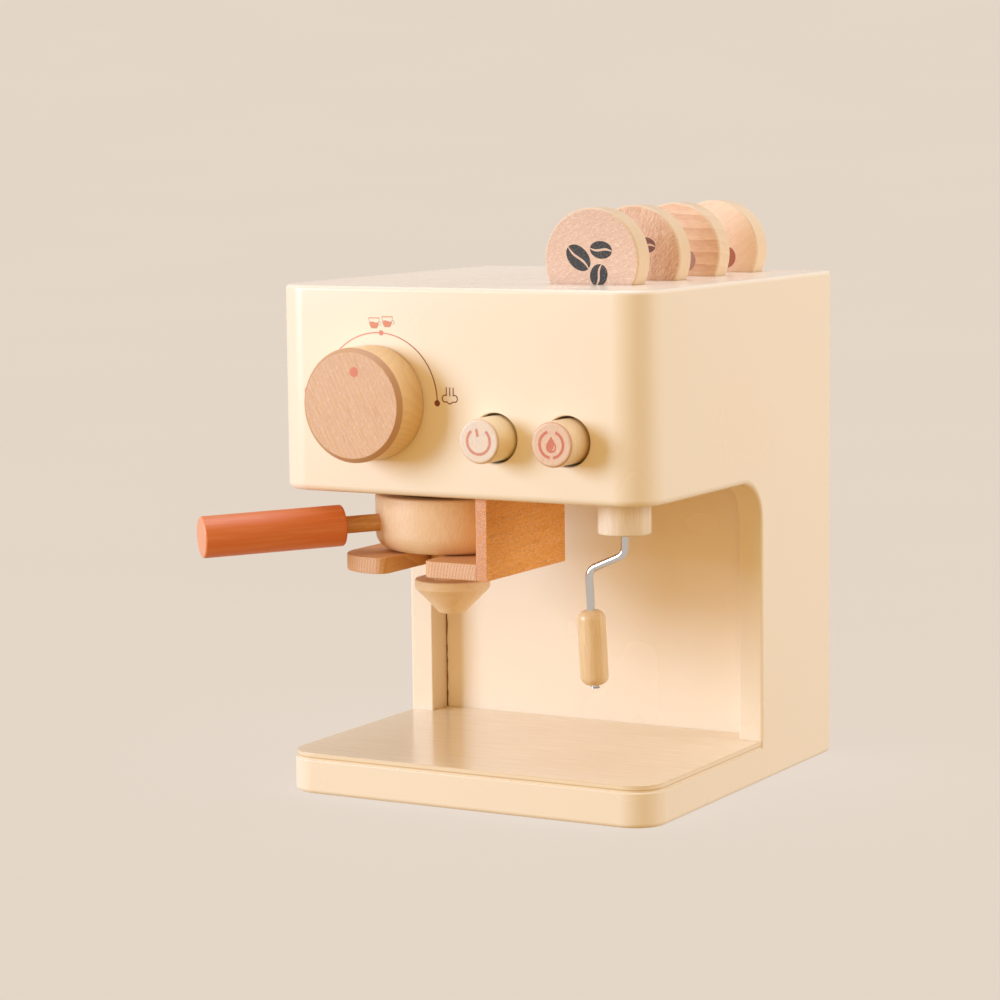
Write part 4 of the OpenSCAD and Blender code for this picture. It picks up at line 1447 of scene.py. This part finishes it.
@dataclass(frozen=True)
class Bean:
    """A printed coffee bean: its middle, half length, half width and turn in degrees."""

    x: float
    z: float
    half_l: float
    half_w: float
    turn: float
    crease: float = 0.95        # width of the pale crease
    bow: float = 0.5            # how far the crease swings to each side
    reach: float = 0.97         # share of the length that the crease takes
    tip_w: float = 0.08         # width of the crease at its ends
    steps: int = 24

    def halves(self) -> list[list[Point]]:
        """Returns the two halves on both sides of the S-shaped crease."""
        made = []
        for side in (1, -1):
            turns = [math.pi * k / self.steps for k in range(1, self.steps)]
            rim = [(self.half_l * math.cos(a), side * self.half_w * math.sin(a)) for a in turns]
            seam = []
            for k in range(self.steps + 1):
                along = self.reach * (2 * k / self.steps - 1)
                half = (self.crease * math.sqrt(1 - along * along) + self.tip_w) / 2
                seam.append((self.half_l * along,
                             self.bow * math.sin(math.pi * along) + side * half))
            made.append([self.place(u, v) for u, v in rim + seam])
        return made

    def place(self, u: float, v: float) -> Point:
        """Returns a point of the upright bean where it lies on the disc."""
        c, s = math.cos(math.radians(self.turn)), math.sin(math.radians(self.turn))
        return self.x + u * c - v * s, self.z + u * s + v * c


@dataclass
class CoffeeDisc:
    """Beech disc that stands for a portion of coffee, printed with beans."""

    number: int
    wood: Timber
    grain: Grain
    ink: PadInk
    beans: tuple[Bean, ...]
    chamfer: float = 0.7
    corner_r: float = 0.4
    face_flat: float = 3.0
    slot_play: Point = (0.4, 0.9)       # how much longer and wider its slot is

    @staticmethod
    def slot_size(disc: Extent, surface_z: float) -> Point:
        """Returns length and width of the slot that a disc stands in.

        Args:
            disc: The disc's extent.
            surface_z: Height of the board's upper face.

        Returns:
            The length and the width.
        """
        radius = disc.size.z / 2
        up = disc.middle.z - surface_z
        chord = 2 * math.sqrt(radius ** 2 - up ** 2)
        return chord + CoffeeDisc.slot_play[0], disc.size.y + CoffeeDisc.slot_play[1]

    def build(self) -> None:
        """Builds the disc and prints its beans."""
        node = f"coffee_disc_{self.number}"
        box = Extent.of(node)
        r, depth = box.size.x / 2, box.size.y
        place = facing_front(box.middle.x, box.high.y, box.middle.z)
        face_r = r - self.chamfer
        disc = Shape().turned([
            Corner(r - self.face_flat, 0), Corner(face_r, 0, ARRIS),
            Corner(r, self.chamfer, self.corner_r), Corner(r, depth - self.chamfer, self.corner_r),
            Corner(face_r, depth, ARRIS), Corner(r - self.face_flat, depth)], place, DISC_SPIN)
        add_piece(f"{node}_sawn", disc, node, self.wood.material(node, self.grain), [node])
        beans = Print(box.low.y)
        for bean in self.beans:
            for half in bean.halves():
                beans.fill(half)
        add_print(f"{node}_beans_print", beans, node, self.ink.material())


@dataclass
class FilterHolder:
    """Beech wall and forked plate under the head, which carry the portafilter."""

    plate_corner_r: float = 20.0
    mouth_r: float = 5.0
    slot_r: float = 9.3
    ease: float = 0.45

    def build(self) -> None:
        """Builds the wall and the plate and dresses their fixings."""
        self.build_wall(Timber("beech_planed_wall", "#F8B05A", "#EA9C48", "#9C5C2C", "#D99C7E",
                               end_figure=0.8, side_figure=0.7, ring_mm=4.5,
                               fibre_mm=(24.0, 0.6), fleck_mm=(3.2, 0.3), fleck_share=0.5,
                               ray_mm=(1.6, 0.5), ray_share=0.45, side_marks=0.7, roughness=0.5,
                               grain_depth_mm=0.012))
        self.build_plate(Timber("beech_planed_plate", "#F0C08C", "#D89C64", "#A4643A", "#ECC2A2",
                                end_figure=1.0, side_figure=0.8, ring_mm=1.5, ring_share=0.75,
                                warp_depth_mm=1.2, fleck_share=0.25, roughness=0.5,
                                grain_depth_mm=0.012))
        dress_node("holder_dowels", BEECH.material("holder_dowels", Grain((1, 0, 0), (1, 0, 0))))

    def build_wall(self, wood: Timber) -> None:
        """Builds the upright wall."""
        box = Extent.of("holder_wall")
        shape = Shape().block(box.low, box.high)
        shape.ease(lambda a, b: self.ease if min(a.z, b.z) < box.high.z - PLANE else 0.0)
        add_piece("holder_wall_planed", shape, BODY,
                  wood.material("holder_wall", Grain((0.0, 1.0, 0.06), (0, 1, 0), (0.0, 52.0, 25.0))),
                  ["holder_wall"])

    def build_plate(self, wood: Timber) -> None:
        """Builds the fork, open towards the front, with a rounded mouth."""
        box = Extent.of("holder_plate")
        neck = Extent.of("filter_neck").middle
        front = box.low.y
        left, right = neck.x - self.slot_r, neck.x + self.slot_r
        floor = arc((neck.x, neck.y), self.slot_r, 180, 0, 7.5)
        before = rounded([
            Corner(right, neck.y), Corner(right, front, self.mouth_r), Corner(box.high.x, front),
            Corner(box.high.x, box.high.y), Corner(box.low.x, box.high.y),
            Corner(box.low.x, front, self.plate_corner_r), Corner(left, front, self.mouth_r),
            Corner(left, neck.y)], closed=False)
        shape = Shape().prism(before[:-1] + floor[:-1], box.low.z, box.high.z, Along.Z)

        def radius(a: Vector, b: Vector) -> float:
            """Returns the radius of the plate's edges, and 0 where it meets the wall."""
            at_wall = min(a.x, b.x) > box.high.x - PLANE
            return self.ease if abs(a.z - b.z) < PLANE and not at_wall else 0.0

        add_piece("holder_plate_planed", shape.ease(radius), BODY,
                  wood.material("holder_plate", Grain((0.05, 1.0, 0.0), (0, 1, 0), (0.0, 70.0, 9.0))),
                  ["holder_plate"])


@dataclass
class Portafilter:
    """Turned cup with its neck, spout, handle dowel and painted grip."""

    cup_bottom_r: float = 8.0
    cup_rim_r: float = 1.2
    basket_r: float = 23.4
    basket_floor: float = 12.0
    basket_ease: float = 1.0
    basket_flat: float = 4.0        # radius at which the basket's flat floor starts
    neck_r: float = 9.0
    neck_ease: float = 0.4
    end_flat: float = 2.0           # radius at which the neck's and spout's flat ends start
    spout_band: float = 4.0
    spout_tip_r: float = 5.7
    spout_eases: tuple[float, float, float] = (1.8, 1.0, 0.8)      # tip, band's foot, band's top
    socket: float = 2.0             # how far the neck goes into the spout
    grip_r: float = 9.0
    grip_edge_r: float = 1.2
    grip_start: float = 49.3
    grip_l: float = 62.6
    grip_socket: float = 20.0
    dowel_r: float = 3.75
    dowel_inset: float = 7.7        # how far the dowel goes into the cup
    dowel_end_gap: float = 0.3
    rod_flat: float = 1.0           # radius at which the rod's and the grip's flat ends start
    bore_depth: float = 3.0         # how far the grip's bore is drawn, which the rod fills
    handle_turn: float = 43.0
    handle_droop: float = 2.0

    def build(self) -> None:
        """Builds the turned pieces on the cup's axis and the ones on the handle's axis."""
        self.axis = Extent.of("filter_neck").middle
        self.build_cup()
        self.build_neck_and_spout()
        self.build_handle()

    def on_axis(self) -> Matrix:
        """Returns the matrix that moves a turned piece to the cup's axis."""
        return Matrix.Translation((self.axis.x, self.axis.y, 0))

    def build_cup(self) -> None:
        """Builds the cup with the hollow that a disc fits in."""
        box = Extent.of("filter_cup")
        r, low, high = box.size.x / 2, box.low.z, box.high.z
        floor = high - self.basket_floor
        cup = Shape().turned([
            Corner(self.neck_r + FIT_GAP, low), Corner(r, low, self.cup_bottom_r),
            Corner(r, high, self.cup_rim_r), Corner(self.basket_r, high, self.basket_ease),
            Corner(self.basket_r, floor, self.basket_ease), Corner(self.basket_flat, floor)],
            self.on_axis(), SPIN_WIDE)
        wood = Timber("beech_turned_cup", "#F3D2AA", "#E9BF92", "#C48E60", "#F2CFAE",
                      side_figure=0.6, ring_mm=5.0, ring_share=0.15, fibre_mm=(22.0, 0.6),
                      fleck_share=0.2, side_marks=0.3, roughness=0.36, grain_depth_mm=0.012)
        grain = Grain((0.1, 0.25, 1.0), (0, 0, 1), (15.0, 60.0, 10.0))
        add_piece("filter_cup_turned", cup, "portafilter", wood.material("filter_cup", grain),
                  ["filter_cup"])

    def build_neck_and_spout(self) -> None:
        """Builds the neck and the spout's band and cone."""
        neck = Extent.of("filter_neck")
        wood = BEECH.material("filter_neck", Grain((0, 0, 1), (0, 0, 1)))
        post = Shape().turned([
            Corner(self.end_flat, neck.low.z), Corner(self.neck_r, neck.low.z, self.neck_ease),
            Corner(self.neck_r, neck.high.z, self.neck_ease), Corner(self.end_flat, neck.high.z)],
            self.on_axis())
        add_piece("filter_neck_turned", post, "filter_neck", wood, ["filter_neck"])
        box = Extent.of("spout_cone")
        r, top, hole_r = box.size.x / 2, box.high.z, self.neck_r + FIT_GAP
        tip_ease, band_ease, top_ease = self.spout_eases
        spout = Shape().turned([
            Corner(self.end_flat, box.low.z), Corner(self.spout_tip_r, box.low.z, tip_ease),
            Corner(r, top - self.spout_band, band_ease), Corner(r, top, top_ease),
            Corner(hole_r, top), Corner(hole_r, top - self.socket)], self.on_axis())
        wood = Timber("beech_turned_spout", "#FCE0B8", "#F3CDA0", "#D09C68", "#F4D6B4",
                      side_figure=0.7, fleck_share=0.2, side_marks=0.2, roughness=0.36,
                      grain_depth_mm=0.012)
        grain = Grain((1.0, 0.3, 0.1), (0, 0, 1), (0.0, 50.0, 30.0))
        add_piece("spout_cone_turned", spout, "portafilter", wood.material("spout_cone", grain),
                  ["spout_cone"])

    def build_handle(self) -> None:
        """Builds the dowel and the painted grip, which point to the front left and droop."""
        droop = math.radians(self.handle_droop)
        fall = (self.grip_start + self.grip_l / 2) * math.sin(droop)
        height = Extent.of("handle_grip").middle.z + fall
        place = (Matrix.Translation((self.axis.x, self.axis.y, height))
                 @ Matrix.Rotation(math.radians(-self.handle_turn), 4, "Z")
                 @ Matrix.Rotation(math.radians(90) + droop, 4, "X"))
        axis = place.to_3x3() @ Vector((0, 0, 1))
        start = Extent.of("filter_cup").size.x / 2 - self.dowel_inset
        end = self.grip_start + self.grip_socket - self.dowel_end_gap
        rod = Shape().turned([
            Corner(self.rod_flat, start), Corner(self.dowel_r, start, ARRIS),
            Corner(self.dowel_r, end, ARRIS), Corner(self.rod_flat, end)], place, ROD_SPIN)
        wood = Timber("beech_rod_oiled", "#E6B37A", "#CE9158", "#925A2C", "#D5A577",
                      fibre_mm=(18.0, 0.8), fleck_share=0.4)
        add_piece("handle_dowel_turned", rod, "portafilter",
                  wood.material("handle_dowel", Grain(tuple(axis), tuple(axis))),
                  ["handle_dowel"])
        low, high = self.grip_start, self.grip_start + self.grip_l
        bore = self.dowel_r + FIT_GAP
        grip = Shape().turned([
            Corner(bore, low + self.bore_depth), Corner(bore, low),
            Corner(self.grip_r, low, self.grip_edge_r), Corner(self.grip_r, high, self.grip_edge_r),
            Corner(self.rod_flat, high)], place)
        add_piece("handle_grip_painted", grip, "portafilter", GlossEnamel().material(axis),
                  ["handle_grip"])


@dataclass
class SteamWand:
    """Maple collar, bent chrome wire and turned grip."""

    peg_r: float = 6.0
    peg_ease: float = 0.4
    collar_ease: float = 0.7
    collar_foot_r: float = 0.9
    bore_depth: float = 4.0     # how far a bore is drawn, which the wire fills
    wire_r: float = 1.7
    bend_r: float = 5.0
    drop: float = 8.8
    offset: float = 17.0
    fall: float = 7.5
    leg: float = 16.8
    grip_l: float = 32.0
    grip_r: float = 6.0
    grip_end_r: float = 4.0
    tail: float = 0.6
    rivet_t: float = 0.8
    rivet_r: float = 2.25
    rivet_neck: float = 0.2     # how much wider than the wire the rivet starts
    rivet_ease: float = 0.1
    rivet_flat: float = 1.0
    rivet_spin: int = 32
    lean: float = 3.0

    def build(self) -> None:
        """Builds collar, wire and grip, and dresses the clip inside the head."""
        collar = Extent.of("wand_collar")
        self.x, self.y = collar.middle.x, collar.middle.y
        self.build_collar(collar)
        self.build_wire(collar)
        self.build_grip()
        dress_node("wand_clip", ZINC.material())

    def build_collar(self, box: Extent) -> None:
        """Builds the collar and its peg, bored for the wire."""
        under = Extent.of("front_panel").low.z
        r, bore, low, high = box.size.x / 2, self.wire_r + FIT_GAP, box.low.z, box.high.z
        shape = Shape().turned([
            Corner(bore, low + self.bore_depth), Corner(bore, low),
            Corner(r, low, self.collar_foot_r), Corner(r, under, self.collar_ease / 2),
            Corner(self.peg_r, under), Corner(self.peg_r, high, self.peg_ease),
            Corner(bore, high)], Matrix.Translation((self.x, self.y, 0)))
        grain = Grain((0, 0, 1), (0, 0, 1), (0.0, 30.0, 30.0))
        add_piece("wand_collar_turned", shape, BODY, MAPLE.material("wand_collar", grain),
                  ["wand_collar"])

    def knees(self, collar: Extent) -> tuple[Vector, Vector]:
        """Returns where the wire's straight runs would meet, at its upper and its lower bend."""
        upper = Vector((self.x, self.y, collar.low.z - self.drop))
        return upper, upper + Vector((-self.offset, 0, -self.fall))

    def down(self) -> Vector:
        """Returns the way that the lower run of the wire points."""
        lean = math.radians(self.lean)
        return Vector((math.sin(lean), 0, -math.cos(lean)))

    def on_run(self, point: Vector) -> Matrix:
        """Returns the matrix that moves a turned piece to a point of the lower run."""
        turn = Vector((0, 0, 1)).rotation_difference(self.down()).to_matrix().to_4x4()
        return Matrix.Translation(point) @ turn

    def build_wire(self, collar: Extent) -> None:
        """Builds the wire in one piece, with its peened end."""
        upper, lower = self.knees(collar)
        top_z = Extent.of("wand_wire").high.z
        run = self.leg + self.grip_l + self.tail
        end = lower + self.down() * run
        flat = rounded([
            Corner(self.x, top_z), Corner(upper.x, upper.z, self.bend_r),
            Corner(lower.x, lower.z, self.bend_r), Corner(end.x, end.z)], closed=False)
        path = [Vector((x, self.y, z)) for x, z in flat]
        shape = Shape().tube(path, self.wire_r, Vector((0, 1, 0)))
        shape.turned([
            Corner(self.rivet_flat, 0), Corner(self.wire_r + self.rivet_neck, 0, self.rivet_ease),
            Corner(self.rivet_r, self.rivet_t, ARRIS), Corner(self.rivet_flat, self.rivet_t)],
            self.on_run(end), self.rivet_spin)
        add_piece("wand_wire_bent", shape, "steam_wand", CHROME.material(),
                  ["wand_wire"])

    def build_grip(self) -> None:
        """Builds the grip that turns on the lower run."""
        lower = self.knees(Extent.of("wand_collar"))[1]
        bore, end = self.wire_r + FIT_GAP, self.grip_l
        shape = Shape().turned([
            Corner(bore, self.bore_depth), Corner(bore, 0), Corner(self.grip_r, 0, self.grip_end_r),
            Corner(self.grip_r, end, self.grip_end_r), Corner(bore, end),
            Corner(bore, end - self.bore_depth)], self.on_run(lower + self.down() * self.leg))
        wood = Timber("beech_turned_varnished", "#F2D4A8", "#E7BF8C", "#C9935E", "#F0D2AC",
                      fleck_share=0.2, roughness=0.3)
        grain = Grain(tuple(self.down()), tuple(self.down()))
        add_piece("wand_grip_turned", shape, "wand_grip", wood.material("wand_grip", grain),
                  ["wand_grip"])


@dataclass
class Fixings:
    """What holds the boards and the buttons together, out of sight."""

    wooden: tuple[str, ...] = ("panel_dowels", "button_guide")
    metal: tuple[str, ...] = ("base_screws", "holder_screws")

    def build(self) -> None:
        """Dresses the nodes that stay as the model has them."""
        for node in self.wooden:
            dress_node(node, BEECH.material(node, Grain((1, 0, 0), (1, 0, 0))))
        zinc = ZINC.material()
        for node in self.metal:
            dress_node(node, zinc)


# ---- The studio ----------------------------------------------------------


@dataclass(frozen=True)
class Lamp:
    """A soft rectangular lamp that shines on the machine."""

    name: str
    place: tuple[float, float, float]       # in metres
    size: Point                             # in metres
    power: float                            # in watts
    colour: str
    mirrored: bool = True                   # whether gloss shows it


@dataclass
class Studio:
    """Camera, soft lamps, warm walls with pale screens, and a floor that glows softly."""

    camera_mm: tuple[float, float, float] = (646.9, -1211.3, 287.8)
    yaw: float = 29.24
    pitch: float = 6.84
    roll: float = -0.62
    lens: float = 111.69
    sensor_w: float = 36.0
    sight: float = 100.0                # how far the camera sees, in metres
    target: tuple[float, float, float] = (0.0, -0.03, 0.12)
    room_light: float = 0.435
    room_colour: str = "#FFC548"        # warm light that comes off the room's walls
    screen_light: float = 0.6
    screen_colour: str = "#D8D2CC"      # pale screens that stand where gloss would mirror a wall
    floor_flat_r: float = 2.5
    floor_r: float = 12.0
    floor_rise: float = 0.03
    floor_spin: int = 128
    floor_rings: int = 40
    lamps: tuple[Lamp, ...] = (
        Lamp("key_lamp", (-1.85, -1.83, 0.71), (1.2, 1.2), 71.4, "#CBE2FF"),
        Lamp("front_lamp", (0.35, -1.75, 0.3), (2.0, 1.0), 7.0, "#FFEEC7"),
        Lamp("fill_lamp", (1.8, 0.62, 0.6), (1.3, 1.2), 26.5, "#DAEBFF", mirrored=False),
        Lamp("top_lamp", (0.0, 0.1, 1.5), (1.2, 1.2), 16.1, "#C6DDFF"),
    )

    def build(self) -> None:
        """Sets up the studio."""
        self.place_camera()
        self.build_floor()
        for lamp in self.lamps:
            self.hang(lamp)
        self.light_room()
        bpy.context.scene.view_settings.view_transform = "Standard"

    def place_camera(self) -> None:
        """Puts the camera where the photograph was taken from."""
        yaw, pitch, roll = (math.radians(a) for a in (self.yaw, self.pitch, self.roll))
        ahead = Vector((-math.sin(yaw) * math.cos(pitch), math.cos(yaw) * math.cos(pitch),
                        -math.sin(pitch)))
        level = Vector((math.cos(yaw), math.sin(yaw), 0))
        up = level.cross(ahead)
        right = level * math.cos(roll) + up * math.sin(roll)
        upright = up * math.cos(roll) - level * math.sin(roll)
        turn = Matrix((right, upright, -ahead)).transposed().to_4x4()
        data = bpy.data.cameras.new("photo_camera")
        data.lens, data.sensor_width, data.clip_end = self.lens, self.sensor_w, self.sight
        camera = bpy.data.objects.new("photo_camera", data)
        camera.matrix_world = Matrix.Translation(Vector(self.camera_mm) * MM) @ turn
        bpy.context.scene.collection.objects.link(camera)
        bpy.context.scene.camera = camera

    def build_floor(self) -> None:
        """Builds the floor, a wide dish that is flat in the middle."""
        mesh = bmesh.new()
        spin, rings = self.floor_spin, self.floor_rings
        centre = mesh.verts.new((0, 0, 0))
        before: list = []
        for k in range(1, rings + 1):
            r = self.floor_r * (k / rings)
            z = self.floor_rise * max(0.0, r - self.floor_flat_r) ** 2
            ring = [mesh.verts.new((r * math.cos(2 * math.pi * s / spin),
                                    r * math.sin(2 * math.pi * s / spin), z)) for s in range(spin)]
            for s in range(spin):
                n = (s + 1) % spin
                mesh.faces.new((before[s], ring[s], ring[n], before[n]) if before
                               else (centre, ring[s], ring[n]))
            before = ring
        data = bpy.data.meshes.new("studio_floor")
        mesh.to_mesh(data)
        mesh.free()
        floor = bpy.data.objects.new("studio_floor", data)
        floor.data.shade_smooth()
        floor.data.materials.append(OpalAcrylic().material())
        bpy.context.scene.collection.objects.link(floor)
        # Its glow stays off the machine, as the lamps' light stays off the table
        floor.visible_diffuse = False

    def hang(self, lamp: Lamp) -> None:
        """Hangs a lamp and points it at the machine."""
        data = bpy.data.lights.new(lamp.name, "AREA")
        data.shape, data.energy = "RECTANGLE", lamp.power
        data.size, data.size_y = lamp.size
        data.color = linear(lamp.colour)[:3]
        made = bpy.data.objects.new(lamp.name, data)
        way = Vector(self.target) - Vector(lamp.place)
        made.matrix_world = (Matrix.Translation(lamp.place)
                             @ way.to_track_quat("-Z", "Y").to_matrix().to_4x4())
        made.visible_glossy = lamp.mirrored
        made.light_linking.receiver_collection = bpy.data.collections["machine"]
        bpy.context.scene.collection.objects.link(made)
        log.info("%s: %.0f W", lamp.name, lamp.power)

    def light_room(self) -> None:
        """Fills the room with the walls' warm light, and shows gloss the pale screens instead."""
        world = bpy.data.worlds.new("studio_room")
        world.use_nodes = True
        world.node_tree.nodes.clear()
        walls = add_node(world.node_tree, "ShaderNodeBackground", inputs={
            "Color": linear(self.room_colour), "Strength": self.room_light})
        screens = add_node(world.node_tree, "ShaderNodeBackground", inputs={
            "Color": linear(self.screen_colour), "Strength": self.screen_light})
        path = add_node(world.node_tree, "ShaderNodeLightPath")
        room = add_node(world.node_tree, "ShaderNodeMixShader", inputs={
            0: path.outputs["Is Glossy Ray"], 1: walls.outputs[0], 2: screens.outputs[0]})
        add_node(world.node_tree, "ShaderNodeOutputWorld", inputs={
            "Surface": room.outputs[0]})
        bpy.context.scene.world = world


def coffee_discs() -> list[CoffeeDisc]:
    """Returns the four discs, each with its own wood and ink."""
    first = (Bean(37.9, 233.2, 6.6, 4.5, -43.0), Bean(48.6, 236.6, 5.2, 3.7, -7.0),
             Bean(47.5, 226.0, 4.7, 4.1, 73.0))
    second = (Bean(50.1, 237.1, 4.4, 3.3, -10.0), Bean(40.5, 235.0, 5.2, 3.6, 35.0))
    third = (Bean(49.9, 228.9, 4.8, 4.6, 80.0), Bean(39.0, 231.5, 5.4, 3.8, -35.0))
    fourth = (Bean(51.0, 228.7, 4.8, 4.5, 80.0), Bean(40.5, 236.0, 5.0, 3.5, 10.0),
              Bean(41.0, 226.5, 4.6, 3.4, -50.0))
    pale = Timber("beech_sawn_pale", "#E8CCA6", "#C99472", "#BC8460", "#DDBBA2",
                  end_figure=0.45, side_figure=0.2, ring_mm=2.4, warp_depth_mm=3.0,
                  fibre_mm=(5.0, 0.35), fleck_mm=(1.3, 0.3), fleck_share=0.16,
                  ray_mm=(1.6, 0.3), ray_share=0.4, side_marks=0.05, roughness=0.5,
                  grain_depth_mm=0.01)
    flecked = Timber("beech_sawn_flecked", "#E9CDA8", "#CC946A", "#A87048", "#EDC4A0",
                     end_figure=0.7, side_figure=0.2, ring_mm=2.8, fibre_mm=(6.0, 0.45),
                     fleck_mm=(2.0, 0.38), fleck_share=0.35, ray_mm=(2.0, 0.35), ray_share=0.4,
                     side_marks=0.05, roughness=0.5, grain_depth_mm=0.012)
    banded = Timber("beech_sawn_banded", "#EBD0AC", "#D8A074", "#C08A5A", "#F5D0AA",
                    end_figure=0.75, side_figure=0.25, ring_mm=5.5, ring_share=0.6,
                    warp_mm=40.0, fleck_share=0.12, ray_share=0.1, side_marks=0.05,
                    roughness=0.5, grain_depth_mm=0.01)
    plain = Timber("beech_sawn_plain", "#EBD0AC", "#EAB890", "#D6A884", "#FBDDBC",
                   end_figure=0.35, side_figure=0.2, fleck_share=0.1, ray_share=0.15,
                   side_marks=0.05, roughness=0.5, grain_depth_mm=0.01)
    return [
        CoffeeDisc(1, pale, Grain((0.9, 0.1, 0.35), (0, 1, 0), (0.0, 40.0, 40.0)), CHARCOAL_INK,
                   first),
        CoffeeDisc(2, flecked, Grain((0.45, 0.1, 0.9), (0, 1, 0), (9.0, 55.0, 30.0)),
                   PadInk("pad_ink_umber", "#7A4A3A"), second),
        CoffeeDisc(3, banded, Grain((1.0, 0.1, -0.06), (0, 1, 0), (0.0, 10.0, 90.0)),
                   PadInk("pad_ink_taupe", "#B98A78"), third),
        CoffeeDisc(4, plain, Grain((0.8, 0.1, 0.5), (0, 1, 0), (4.0, 50.0, 60.0)),
                   PadInk("pad_ink_rust", "#B5694C"), fourth),
    ]


def main() -> None:
    """Builds the machine, then the studio round it."""
    logging.basicConfig(level=logging.INFO, format="%(name)s: %(message)s")
    housing = Housing()
    housing.build(SatinEnamel().material())
    # A painted shadow line darkens the gap in the column's left corner
    housing.gap_shadow_line(GapShadowPaint().material())
    Dial().build()
    Knob().build()
    for symbol in Symbol:
        PushButton(symbol).build()
    for disc in coffee_discs():
        disc.build()
    FilterHolder().build()
    Portafilter().build()
    SteamWand().build()
    Fixings().build()
    Studio().build()


if __name__ == "__main__":
    main()
